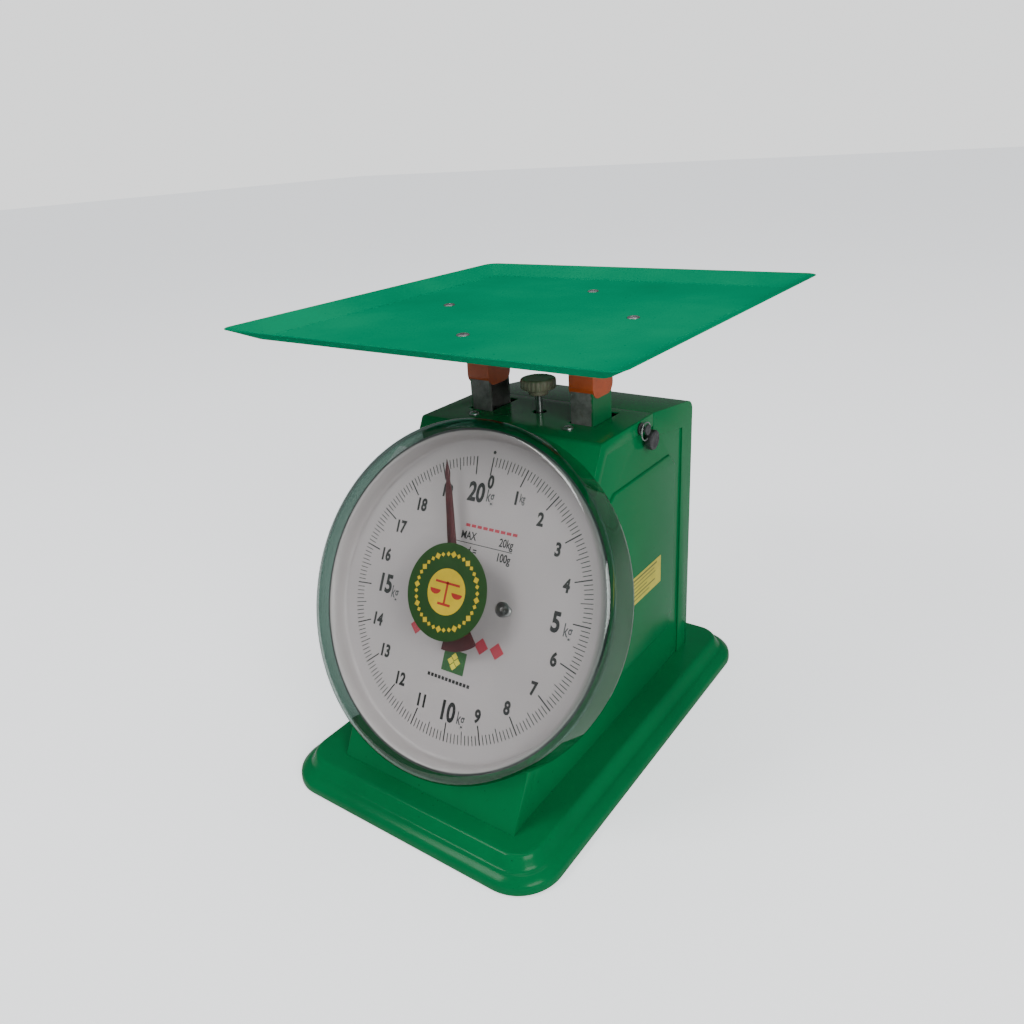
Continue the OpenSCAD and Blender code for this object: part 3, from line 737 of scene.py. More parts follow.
FINISHES = {
    "casing": casing_enamel,
    "platform": platform_enamel,
    "zinc": zinc_steel,
    "frame": frame_steel,
    "spring": spring_steel,
    "brass": brass,
    "lead": lead,
    "post": post_enamel,
    "cap": cap_plastic,
    "knob": knob_plastic,
    "rubber": rubber,
    "pointer": pointer_enamel,
    "dial": dial_white,
    "clear": clear_plastic,
    "ink": lambda: ink("Black dial ink", (0.006, 0.006, 0.007)),
    "grey_ink": lambda: ink("Grey dial ink", (0.055, 0.055, 0.06)),
    "red_ink": lambda: ink("Red dial ink", (0.36, 0.03, 0.05)),
    "green_ink": lambda: ink("Green dial ink", (0.012, 0.075, 0.014)),
    "yellow_ink": lambda: ink("Yellow dial ink", (0.60, 0.52, 0.03)),
    "sticker_green": lambda: vinyl("Green sticker vinyl", (0.016, 0.062, 0.010)),
    "sticker_yellow": lambda: vinyl("Yellow sticker vinyl", (0.66, 0.47, 0.020)),
    "sticker_red": lambda: vinyl("Red sticker vinyl", (0.42, 0.03, 0.02)),
    "label_yellow": lambda: vinyl("Yellow label vinyl", (0.62, 0.55, 0.055), 0.42),
    "label_ink": lambda: ink("Label ink", (0.10, 0.12, 0.03)),
}


# ---------- pieces ----------

class SCALE_OT_base(bpy.types.Operator):
    """Pressed base pan on four rubber feet"""

    bl_idname = "scale.base"
    bl_label = "Base and feet"

    def execute(self, context):
        w = BASE_HIGH.x - BASE_LOW.x
        d = BASE_HIGH.y - BASE_LOW.y
        top = BASE_HIGH.z
        corner = 30 * MM
        outer = [
            (0.5, 1.0), (0.1, 1.5), (0.0, 2.6), (0.15, 5.4), (0.6, 6.9), (1.5, 8.0), (3.2, 9.3),
            (5.2, 10.7), (6.2, 11.15), (7.2, 11.4), (8.3, 12.0), (9.3, 13.4), (11.2, 16.6), (12.3, 18.4),
            (13.1, 19.3), (14.2, 19.8), (15.6, 20.0)]
        inner = [
            (1.5, 1.0), (1.3, 2.6), (1.4, 5.2), (2.0, 6.4), (6.0, 9.6), (7.6, 10.15), (9.2, 10.7),
            (10.3, 12.2), (13.2, 17.3), (14.6, 18.5), (16.4, 18.8)]
        rings = []
        for inset, z in list(reversed(inner)) + outer:
            m = inset * MM
            rings.append((w - 2 * m, d - 2 * m, corner - m, min(z * MM, top)))
        pan = pressed_sheet("base_shell", rings, (BASE_LOW + BASE_HIGH) / 2, 18)
        dress(pan, "housing", material("casing"), ("base_pan",))

        feet = ("foot_front_left", "foot_front_right", "foot_back_left", "foot_back_right")
        profile = [(0, 0), (9.6, 0), (10.6, 0.35), (11, 1.1), (11, 2.2), (10.5, 2.8), (9.6, 3.0), (9.0, 3.4),
                   (9.0, 7.0), (8.6, 7.4), (8.6, 8.2), (9.0, 8.6), (9.0, 18.6), (0, 18.6)]
        foot = lathe("foot_proto", in_mm(profile), segments=48)
        places = [(middle_of(node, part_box(node)[0].z), UPRIGHT) for node in feet]
        piece = copies("rubber_feet", foot, places, material("rubber"))
        dress(piece, "housing", None, feet)
        return {"FINISHED"}


def on_bend(a, b):
    """True for the edges where the front and top sheet is folded: front sides, top sides, top front."""
    edge_x = CASE_HIGH.x - 0.05 * MM
    edge_z = CASE_HIGH.z - 0.05 * MM
    at_side = min(abs(a.x), abs(b.x)) > edge_x and a.x * b.x > 0
    at_top_front = min(a.z, b.z) > edge_z and abs(a.x - b.x) > 100 * MM
    if at_top_front:
        return abs(a.y - b.y) < 0.1 * MM and a.y < LOAD_Y
    if not at_side:
        return False
    slope = (b - a).normalized()
    leaning = abs(abs(slope.z) - abs(DIAL_UP.z)) < 0.01 and abs(slope.y) > 0.1
    front_line = leaning and on_front_plane(a) and on_front_plane(b)
    level = abs(slope.y) > 0.99 and a.z > edge_z
    return front_line or level


def on_front_plane(p):
    """True for a point on the outer face of the leaning front panel."""
    foot = Vector((0, CASE_LOW.y, CASE_LOW.z))
    return abs((p - foot).dot(DIAL_NORMAL)) < 0.05 * MM


class SCALE_OT_casing(bpy.types.Operator):
    """Folded front and top sheet, side panels and back cover"""

    bl_idname = "scale.casing"
    bl_label = "Casing"

    def execute(self, context):
        bend, deburr = sizes().bend, sizes().deburr
        front = rounded_copy("front_top_sheet", "front_top_cover", deburr, on_bend, bend, segments=4)
        dress(front, "housing", material("casing"), ("front_top_cover",))
        for side in ("left", "right"):
            node = "side_panel_" + side
            low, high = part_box(node)
            face = high.x if side == "right" else low.x

            def on_field(a, b, face=face):
                return max(abs(a.x - face), abs(b.x - face)) < 0.02 * MM

            panel = rounded_copy("side_sheet_" + side, node, deburr, on_field, 1.3 * MM, segments=4)
            dress(panel, "housing", material("casing"), (node,))
        back = rounded_copy("back_sheet", "back_cover", deburr)
        dress(back, "housing", material("casing"), ("back_cover",))
        return {"FINISHED"}


def screw_prototype(head_r, head_h, shank_r, shank_l):
    """Pan-head screw standing on z = 0: domed head with a cross recess and a plain shank."""
    bm = bmesh.new()
    segments = 32
    # The rim's share of the head's height, and how far the crown pulls in, as a share of the radius.
    rim_share, crown = 0.22, 0.42
    profile = [
        (0, -shank_l), (shank_r, -shank_l), (shank_r, 0), (head_r * 0.985, 0), (head_r, head_h * rim_share)]
    for i in range(1, 6):
        a = math.radians(18 * i)
        r = head_r * (1 - crown * (1 - math.cos(a)))
        profile.append((r, head_h * (rim_share + (1 - rim_share) * math.sin(a))))
    profile.append((head_r * 0.5, head_h))
    loops = [ring_round_z(bm, r, z, segments) for r, z in profile]
    bridge_loops(bm, loops, False)
    # Cross recess: a small cross-shaped well in the middle of the head.
    arm, slot, deep = head_r * 0.46, head_r * 0.13, head_h * 0.72
    taper = 0.72
    cross = [(arm, -slot), (arm, slot), (slot, slot), (slot, arm), (-slot, arm), (-slot, slot), (-arm, slot),
             (-arm, -slot), (-slot, -slot), (-slot, -arm), (slot, -arm), (slot, -slot)]
    rim = [bm.verts.new((x, y, head_h)) for x, y in cross]
    well = [bm.verts.new((x * taper, y * taper, head_h - deep)) for x, y in cross]
    bridge_loops(bm, [well, rim], False)
    bm.faces.new(well)
    bm.edges.ensure_lookup_table()
    outer = [bm.edges.get((loops[-1][i], loops[-1][(i + 1) % segments])) for i in range(segments)]
    inner = [bm.edges.get((rim[i], rim[(i + 1) % len(rim)])) for i in range(len(rim))]
    bmesh.ops.triangle_fill(bm, edges=outer + inner, use_beauty=True)
    return from_bmesh("screw_proto", bm, 38)


def heading(direction):
    """Rotation that turns +Z to a direction."""
    return Vector(direction).to_track_quat("Z", "Y").to_matrix()


class SCALE_OT_screws(bpy.types.Operator):
    """Every screw that shows: casing top, back panel, dial and platform"""

    bl_idname = "scale.screws"
    bl_label = "Screws"

    def execute(self, context):
        tops = ("top_screw_left", "top_screw_right")
        places = [(middle_of(node, CASE_HIGH.z), UPRIGHT) for node in tops]
        rear_low, rear_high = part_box("back_screws")
        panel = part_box("back_cover")[1].y
        back = heading((0, 1, 0))
        r = 3.4 * MM
        for x in (rear_low.x + r, rear_high.x - r):
            for z in (rear_low.z + r, rear_high.z - r):
                places.append(((x, panel, z), back))
        screw = screw_prototype(r, 1.9 * MM, 1.5 * MM, 5.8 * MM)
        piece = copies("casing_screws", screw, places, material("zinc"))
        dress(piece, "housing", None, tops + ("back_screws",))

        dials = ("dial_screw_left", "dial_screw_right")
        turned = DIAL.to_3x3()
        spots = []
        for node in dials:
            low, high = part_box(node)
            side = 1 if low.x > 0 else -1
            x = side * (min(abs(low.x), abs(high.x)) + 5 * MM)
            spots.append((DIAL @ Vector((x, 0, 0.7 * MM)), turned))
        screw = screw_prototype(3.2 * MM, 1.6 * MM, 1.4 * MM, 7 * MM)
        heads = copies("dial_screw_heads", screw, spots, material("zinc"))
        profile = [(1.6, 0.0), (4.7, 0.0), (5.0, 0.15), (5.0, 0.5), (4.7, 0.65), (1.6, 0.65)]
        washer = lathe("washer_proto", in_mm(profile), segments=48, closed=True)
        spots = [(DIAL @ Vector((x, 0, 0.02 * MM)), turned) for x in (-30 * MM, 30 * MM)]
        washers = copies("dial_washers", washer, spots, material("zinc"))
        piece = joined("dial_screws_and_washers", [heads, washers])
        dress(piece, "housing", material("zinc"), dials)

        nodes = tuple("platform_screw_" + side for side in ("left", "right", "front", "back"))
        spots = []
        for i, node in enumerate(nodes):
            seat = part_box(node)[1].z - 0.35 * MM
            spots.append((middle_of(node, seat), Matrix.Rotation(math.radians(20 + 31 * i), 3, "Z")))
        screw = screw_prototype(4.1 * MM, 1.3 * MM, 1.9 * MM, 7 * MM)
        piece = copies("platform_screw_heads", screw, spots, material("frame"))
        dress(piece, "load_frame", None, nodes)
        return {"FINISHED"}


class SCALE_OT_platform(bpy.types.Operator):
    """Flared platform tray on its cross, with the posts and their stop caps"""

    bl_idname = "scale.platform"
    bl_label = "Platform and posts"

    def execute(self, context):
        w = TRAY_HIGH.x - TRAY_LOW.x
        d = TRAY_HIGH.y - TRAY_LOW.y
        floor = TRAY_LOW.z
        flare = 16 * MM
        under = [(22.0, 0.0), (17.6, 0.0), (16.3, 0.15), (15.2, 0.6), (2.0, 7.3), (0.9, 7.8), (0.25, 8.05),
                 (0.0, 8.25), (0.05, 8.5)]
        upper = [(0.9, 8.5), (1.5, 8.35), (3.0, 7.75), (15.6, 1.75), (16.8, 1.3), (18.4, 1.2), (23.0, 1.2)]
        rings = []
        for inset, z in under + upper:
            m = inset * MM
            share = min(1.0, m / flare)
            rings.append((w - 2 * m, d - 2 * m, (9 - 5 * share) * MM, floor + z * MM))
        tray = pressed_sheet("platform_sheet", rings, (TRAY_LOW + TRAY_HIGH) / 2, 8, 24)
        dress(tray, "load_frame", material("platform"), ("platform_tray",))

        cross = rounded_copy("platform_cross_bars", "platform_cross", 0.6 * MM)
        dress(cross, "load_frame", material("casing"), ("platform_cross",))
        for side in ("left", "right"):
            node = "load_post_" + side
            low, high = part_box(node)
            outer = high.x if side == "right" else low.x

            def on_web(a, b, outer=outer):
                return max(abs(a.x - outer), abs(b.x - outer)) < 0.02 * MM and abs(a.z - b.z) > 10 * MM

            post = rounded_copy("post_" + side, node, 0.25 * MM, on_web, 1.5 * MM, 5 * MM, 4)
            dress(post, "load_frame", material("post"), (node,))
            node = "post_cap_" + side
            cap = rounded_copy("stop_cap_" + side, node, 0.7 * MM, shortest=2 * MM)
            dress(cap, "load_frame", material("cap"), (node,))
        return {"FINISHED"}


def thin_shapes(name, outlines, z, thickness, place):
    """Thin flat shapes from (x, y) outlines in metres, laid on the face that a matrix gives."""
    bm = bmesh.new()
    for points in outlines:
        low = [bm.verts.new((x, y, z)) for x, y in points]
        high = [bm.verts.new((x, y, z + thickness)) for x, y in points]
        bm.faces.new(list(reversed(low)))
        bm.faces.new(high)
        bridge_loops(bm, [low, high], False)
    bmesh.ops.transform(bm, matrix=place, verts=bm.verts)
    return from_bmesh(name, bm, 30)


def printed(name, outlines, z=0.0, thickness=PRINT_THICKNESS):
    """Thin shapes printed on the dial, or on the cover above it, in the dial's own (x, y)."""
    return thin_shapes(name, outlines, z, thickness, PRINT)


def lettering(name, rows):
    """Printed characters as one mesh: rows of (text, x, y, height, width share, stroke, align)."""
    parts = []
    for text, x, y, height, narrow, stroke, align in rows:
        curve = bpy.data.curves.new("letters", "FONT")
        curve.body = text
        curve.align_x = align
        curve.align_y = "CENTER"
        curve.size = height
        curve.offset = stroke
        curve.extrude = 0.05 * MM
        curve.resolution_u = 6
        obj = new_object("letters", curve)
        mesh = evaluated_mesh(obj)
        bpy.data.objects.remove(obj)
        bpy.data.curves.remove(curve)
        place = PRINT @ Matrix.Translation((x, y, 0.07 * MM)) @ Matrix.Diagonal((narrow, 1, 1, 1))
        mesh.transform(place)
        parts.append(new_object("letters", mesh))
    return joined(name, parts)


def marks_tree():
    """Tree of the scale marks: a bar at each step round the dial, longer at each fifth and tenth."""
    tree = Tree("Scale marks", [
        ("Marks", "NodeSocketInt", 201),
        ("Step", "NodeSocketFloat", 0.03),
        ("Outer radius", "NodeSocketFloat", 0.09),
        ("Long", "NodeSocketFloat", 0.012),
        ("Medium", "NodeSocketFloat", 0.009),
        ("Short", "NodeSocketFloat", 0.006),
        ("Width", "NodeSocketFloat", 0.0006),
        ("Thickness", "NodeSocketFloat", 0.0001),
        ("Material", "NodeSocketMaterial", None),
    ])
    get = tree.get
    line = tree.node("GeometryNodeMeshLine", Count=get["Marks"])
    points = tree.node("GeometryNodeMeshToPoints", Mesh=line.outputs[0])
    index = tree.node("GeometryNodeInputIndex").outputs[0]
    tenth = tree.math("COMPARE", tree.math("MODULO", index, 10.0), 0.0)
    fifth = tree.math("COMPARE", tree.math("MODULO", index, 5.0), 0.0)
    for match in (tenth, fifth):
        match.node.inputs[2].default_value = 0.1
    medium_part = tree.math("MULTIPLY", fifth, tree.math("SUBTRACT", get["Medium"], get["Short"]))
    long_part = tree.math("MULTIPLY", tenth, tree.math("SUBTRACT", get["Long"], get["Medium"]))
    length = tree.math("ADD", get["Short"], tree.math("ADD", medium_part, long_part))
    width = tree.math("MULTIPLY", get["Width"], tree.math("ADD", 0.62, tree.math("MULTIPLY", tenth, 0.38)))
    angle = tree.math("MULTIPLY", index, get["Step"])
    middle = tree.math("SUBTRACT", get["Outer radius"], tree.math("MULTIPLY", length, 0.5))
    spot = tree.node(
        "ShaderNodeCombineXYZ",
        X=tree.math("MULTIPLY", middle, tree.math("SINE", angle)),
        Y=tree.math("MULTIPLY", middle, tree.math("COSINE", angle)))
    moved = tree.node("GeometryNodeSetPosition", Geometry=points.outputs[0], Position=spot.outputs[0])
    turn = tree.node("ShaderNodeCombineXYZ", Z=tree.math("MULTIPLY", angle, -1.0))
    grow = tree.node("ShaderNodeCombineXYZ", X=width, Y=length, Z=get["Thickness"])
    bar = tree.node("GeometryNodeMeshCube", Size=(1.0, 1.0, 1.0))
    place = tree.node(
        "GeometryNodeInstanceOnPoints",
        Points=moved.outputs[0], Instance=bar.outputs[0], Rotation=turn.outputs[0], Scale=grow.outputs[0])
    tree.finish(place.outputs[0])
    return tree


def numeral_spot(kg):
    """Middle of a numeral in millimetres; their ring stands a little right of and below the centre."""
    a = kg * KG_TURN
    return 74.4 * math.sin(a) + 0.6, 73.3 * math.cos(a) - 1.2


class SCALE_OT_dial(bpy.types.Operator):
    """Dial plate with its printed marks, numerals and notes"""

    bl_idname = "scale.dial"
    bl_label = "Dial plate and print"

    def execute(self, context):
        profile = [
            (0, -0.8), (102.6, -0.8), (103.3, -0.5), (104.6, 4.0), (105.6, 8.8), (106.3, 10.0), (107.6, 10.4),
            (108.3, 10.7), (108.5, 11.1), (108.3, 11.45), (107.6, 11.5), (106.2, 11.15), (105.0, 10.2),
            (103.9, 5.2), (103.2, 1.6), (102.4, 0.35), (101.0, 0), (0, 0)]
        plate = lathe("dial_dish", in_mm(profile), DIAL, 160, smooth_angle=50)
        dress(plate, "housing", material("dial"), ("dial_plate",))

        tree = marks_tree()
        marks = run_tree("dial_marks", tree, {
            "Marks": sizes().capacity * 10 + 1, "Step": KG_TURN / 10, "Outer radius": SCALE_R,
            "Long": 12.0 * MM, "Medium": 8.4 * MM, "Short": 6.0 * MM, "Width": sizes().mark_width,
            "Thickness": PRINT_THICKNESS, "Material": material("ink")})
        marks.data.transform(PRINT @ Matrix.Translation((0, 0, PRINT_THICKNESS / 2)))
        dot = printed("zero_dot", [disc_points(0, 95.2 * MM, 1.1 * MM, 24)])
        marks = joined("dial_scale_marks", [marks, dot])
        dress(marks, "housing", material("ink"))

        rows = []
        spots = {0: (1.6, 75.6), 5: (68.6, 0.6), 10: (4.6, -73.4), 15: (-67.3, -5.8), 20: (-8.0, 67.4)}
        plain, bold = (11.4 * MM, 0.79, 0.46 * MM), (17.0 * MM, 0.76, 0.60 * MM)
        for kg in range(sizes().capacity + 1):
            x, y = spots.get(kg) or numeral_spot(kg)
            style = bold if kg > 0 and kg % 5 == 0 else plain
            rows.append((str(kg), x * MM, y * MM, *style, "CENTER"))
        numerals = lettering("dial_numerals", rows)
        dress(numerals, "housing", material("ink"))

        units = [("kg", 27.6 * MM, 69.4 * MM, 7.6 * MM, 0.60, 0.08 * MM, "CENTER")]
        for x, y in ((77.6, -2.2), (16.0, -74.6), (-57.4, -9.6), (3.4, 66.8)):
            units.append(("kg", x * MM, y * MM, 11.5 * MM, 0.60, 0.10 * MM, "CENTER"))
        unit_marks = lettering("dial_units", units)
        dress(unit_marks, "housing", material("grey_ink"))

        notes = lettering("dial_notes", [
            ("MAX", -13 * MM, 39.4 * MM, 7.2 * MM, 0.78, 0.12 * MM, "LEFT"),
            ("20kg", 28.0 * MM, 39.4 * MM, 7.4 * MM, 0.76, 0.12 * MM, "RIGHT"),
            ("d =", -6 * MM, 30.0 * MM, 7.2 * MM, 0.78, 0.12 * MM, "LEFT"),
            ("100g", 28.0 * MM, 30.0 * MM, 7.4 * MM, 0.76, 0.12 * MM, "RIGHT"),
        ])
        bars = [bar_points(3.0 * MM, 34.8 * MM, 50 * MM, 0.45 * MM)]
        for k in range(12):
            bars.append(bar_points((-15.5 + 2.9 * k) * MM, -53.6 * MM, 2.0 * MM, 2.2 * MM))
        notes = joined("dial_note_print", [notes, printed("rule_and_dashes", bars)])
        dress(notes, "housing", material("ink"))

        box_x, box_y = 2.0 * MM, -41.2 * MM
        panel = printed("badge_ground", [bar_points(box_x, box_y, 17.5 * MM, 14.5 * MM)])
        dress(panel, "housing", material("green_ink"))
        diamonds = []
        for dx, dy in ((-2.6, 0), (2.6, 0), (0, 3.2), (0, -3.2)):
            shape = [disc_points(box_x + dx * MM, box_y + dy * MM, 2.5 * MM, 4)]
            diamonds.append(printed("diamond", shape, 0.1 * MM))
        mark = joined("badge_diamonds", diamonds)
        dress(mark, "housing", material("yellow_ink"))
        shapes = [disc_points(x * MM, -26.6 * MM, 5.4 * MM, 4) for x in (-33.0, 20.0, 32.0)]
        for k in range(9):
            shapes.append(bar_points((-9 + 4.6 * k) * MM, 46.2 * MM, 3.4 * MM, 1.9 * MM))
        dashes = printed("badge_dashes", shapes)
        dress(dashes, "housing", material("red_ink"))
        return {"FINISHED"}


class SCALE_OT_pointer(bpy.types.Operator):
    """Stamped pointer on its brass hub and shaft"""

    bl_idname = "scale.pointer"
    bl_label = "Pointer"

    def execute(self, context):
        hand = rounded_copy("pointer_hand", "pointer", 0.18 * MM, shortest=3 * MM, segments=2)
        dress(hand, "pointer_shaft", material("pointer"), ("pointer",))
        profile = [(1.53, 8.3), (5.6, 8.3), (6.0, 8.6), (6.0, 9.4), (5.6, 9.8), (3.2, 9.8), (3.0, 10.0),
                   (3.0, 10.8), (2.7, 11.2), (1.53, 11.2)]
        hub = lathe("pointer_boss", in_mm(profile), DIAL, 48, closed=True)
        dress(hub, "pointer_shaft", material("brass"), ("pointer_hub",))
        return {"FINISHED"}


class SCALE_OT_cover(bpy.types.Operator):
    """Clear drum cover with its round sticker"""

    bl_idname = "scale.cover"
    bl_label = "Clear cover and sticker"

    def execute(self, context):
        r, top, wall, foot = 114.0, 22.3, 1.5, -8.15
        bead = 7.0
        profile = [(0, top)]
        profile += arc(r - bead, top - bead, bead, 90, 0, 10)
        profile += [(r, -6.3), (r, foot + 0.3), (r - 0.3, foot)]
        profile += [(r - wall + 0.2, foot), (r - wall, foot + 0.2)]
        profile += arc(r - bead, top - bead, bead - wall, 0, 90, 10)
        profile += [(0, top - wall)]
        cover = lathe("clear_drum", in_mm(profile), DIAL, 192, smooth_angle=50)
        dress(cover, "housing", material("clear"), ("clear_cover",))

        cx, cy = middle_of("cover_sticker").x - DIAL_CENTRE.x, 3.4 * MM
        z = (top + 0.01) * MM
        ground = printed("sticker_ground", [disc_points(cx, cy, 30.5 * MM, 96)], z, 0.22 * MM)
        dress(ground, "housing", material("sticker_green"), ("cover_sticker",))
        z += 0.2 * MM
        beads = 36
        shapes = [disc_points(cx, cy, 14.5 * MM, 72)]
        for k, (x, y) in enumerate(disc_points(cx, cy, 23.5 * MM, beads)):
            size = 1.5 * MM if k % 3 else 2.2 * MM
            shapes.append(disc_points(x, y, size, 4, 2 * math.pi * k / beads))
        gold = printed("sticker_gold", shapes, z, 0.04 * MM)
        dress(gold, "housing", material("sticker_yellow"))
        z += 0.035 * MM
        post = bar_points(cx, cy - 0.5 * MM, 1.6 * MM, 14 * MM)
        beam = bar_points(cx, cy + 5.4 * MM, 19 * MM, 1.5 * MM)
        stand = bar_points(cx, cy - 8.0 * MM, 10 * MM, 1.6 * MM)
        shapes = [post, beam, stand]
        for side in (-1, 1):
            half_circle = [math.pi * i / 12 for i in range(13)]
            px, py = cx + side * 8.4 * MM, cy + 0.4 * MM
            shapes.append([(px + 4.2 * MM * math.cos(t), py - 3.4 * MM * math.sin(t)) for t in half_circle])
        balance = printed("sticker_balance", shapes, z, 0.03 * MM)
        dress(balance, "housing", material("sticker_red"))
        return {"FINISHED"}


def spring_tree():
    """Tree of one coil spring: a helix with a round wire, closed at both ends."""
    tree = Tree("Coil spring", [
        ("Turns", "NodeSocketFloat", 16.0),
        ("Coil radius", "NodeSocketFloat", 0.008),
        ("Wire radius", "NodeSocketFloat", 0.0013),
        ("Height", "NodeSocketFloat", 0.1),
        ("Base", "NodeSocketVector", None),
        ("Material", "NodeSocketMaterial", None),
    ])
    get = tree.get
    helix = tree.node(
        "GeometryNodeCurveSpiral", Rotations=get["Turns"], Height=get["Height"], Resolution=32,
        Start_Radius=get["Coil radius"], End_Radius=get["Coil radius"])
    wire = tree.node("GeometryNodeCurvePrimitiveCircle", Resolution=12, Radius=get["Wire radius"])
    tube = tree.node(
        "GeometryNodeCurveToMesh", Curve=helix.outputs[0], Profile_Curve=wire.outputs[0], Fill_Caps=True)
    moved = tree.node("GeometryNodeTransform", Geometry=tube.outputs[0], Translation=get["Base"])
    tree.finish(moved.outputs[0])
    return tree


class SCALE_OT_springs(bpy.types.Operator):
    """Pair of main springs and their hanger"""

    bl_idname = "scale.springs"
    bl_label = "Main springs"

    def execute(self, context):
        tree = spring_tree()
        wire = 1.3 * MM
        for side in ("left", "right"):
            low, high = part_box("main_spring_" + side)
            coil = (high.x - low.x) / 2 - wire
            base = middle_of("main_spring_" + side, low.z + wire + 0.05 * MM)
            spring = run_tree("coil_spring_" + side, tree, {
                "Turns": 16.0, "Coil radius": coil, "Wire radius": wire, "Base": base,
                "Height": high.z - low.z - 2.2 * wire, "Material": material("spring")}, angle=60)
            dress(spring, "spring_carrier", None, ("main_spring_" + side,))
        hanger = rounded_copy("hanger_bar", "spring_hanger", 0.5 * MM)
        dress(hanger, "spring_carrier", material("frame"), ("spring_hanger",))
        return {"FINISHED"}


class SCALE_OT_zero(bpy.types.Operator):
    """Knurled zero knob under the platform"""

    bl_idname = "scale.zero"
    bl_label = "Zero knob"

    def execute(self, context):
        low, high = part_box("zero_knob")
        centre = (low + high) / 2
        bm = bmesh.new()
        count, grooves, groove_depth = 144, 24, 0.045
        radius = (high.x - low.x) / 2
        # Layers of (share of the radius, height in millimetres, share of the groove depth).
        layers = [(0.22, 0.0, 0.0), (0.53, 0.0, 0.0), (0.56, 0.4, 0.0), (0.56, 3.6, 0.0), (0.60, 4.0, 0.0),
                  (0.86, 4.0, 1.0), (0.97, 4.5, 1.0), (1.0, 5.2, 1.0), (1.0, 10.2, 1.0), (0.96, 10.9, 1.0),
                  (0.86, 11.3, 0.3), (0.74, 11.45, 0.0), (0.62, 11.2, 0.0), (0.24, 11.2, 0.0)]
        loops = []
        for share, z, knurl in layers:
            ring = []
            for i in range(count):
                a = 2 * math.pi * i / count
                groove = groove_depth * knurl * (0.5 - 0.5 * math.cos(grooves * a))
                r = radius * share * (1 - groove)
                x, y = centre.x + r * math.cos(a), centre.y + r * math.sin(a)
                ring.append(bm.verts.new((x, y, low.z + z * MM)))
            loops.append(ring)
        bridge_loops(bm, loops, False)
        bm.faces.new(loops[-1])
        bm.faces.new(loops[0])
        knob = from_bmesh("zero_knob_moulding", bm, 40)
        dress(knob, "zero_adjuster", material("knob"), ("zero_knob",))
        return {"FINISHED"}


class SCALE_OT_mechanism(bpy.types.Operator):
    """Frame, levers, movement and rack inside the casing"""

    bl_idname = "scale.mechanism"
    bl_label = "Frame and movement"

    def execute(self, context):
        copies_of = {
            "housing": ("frame_plate_left", "frame_plate_right", "frame_bridge", "movement_front_plate",
                        "movement_back_plate"),
            "load_frame": ("load_crossbar", "rack_arm"),
            "upper_guide": ("upper_lever",),
            "lower_guide": ("lower_lever",),
        }
        brass_finish = ("brass", "brass_parts")
        slots = {"movement_front_plate": brass_finish, "movement_back_plate": brass_finish}
        for body, nodes in copies_of.items():
            for node in nodes:
                finish, slot = slots.get(node, ("frame", "frame_steel"))
                piece = rounded_copy(node + "_finished", node, 0.35 * MM, shortest=5 * MM, segments=2)
                dress(piece, body, material(finish), (node,))
        kept = {
            "zinc": ("upper_pivot_rod", "lower_pivot_rod", "upper_pin_left", "upper_pin_right",
                     "lower_pin_left", "lower_pin_right", "zero_screw", "dial_post_left", "dial_post_right",
                     "rack", "rack_foot_pin"),
            "brass": ("movement_pillars", "rack_roller", "pinion_arbor"),
        }
        for finish, nodes in kept.items():
            for node in nodes:
                mesh = frame["nodes"][node].data
                mesh.materials.clear()
                mesh.materials.append(material(finish))
        return {"FINISHED"}


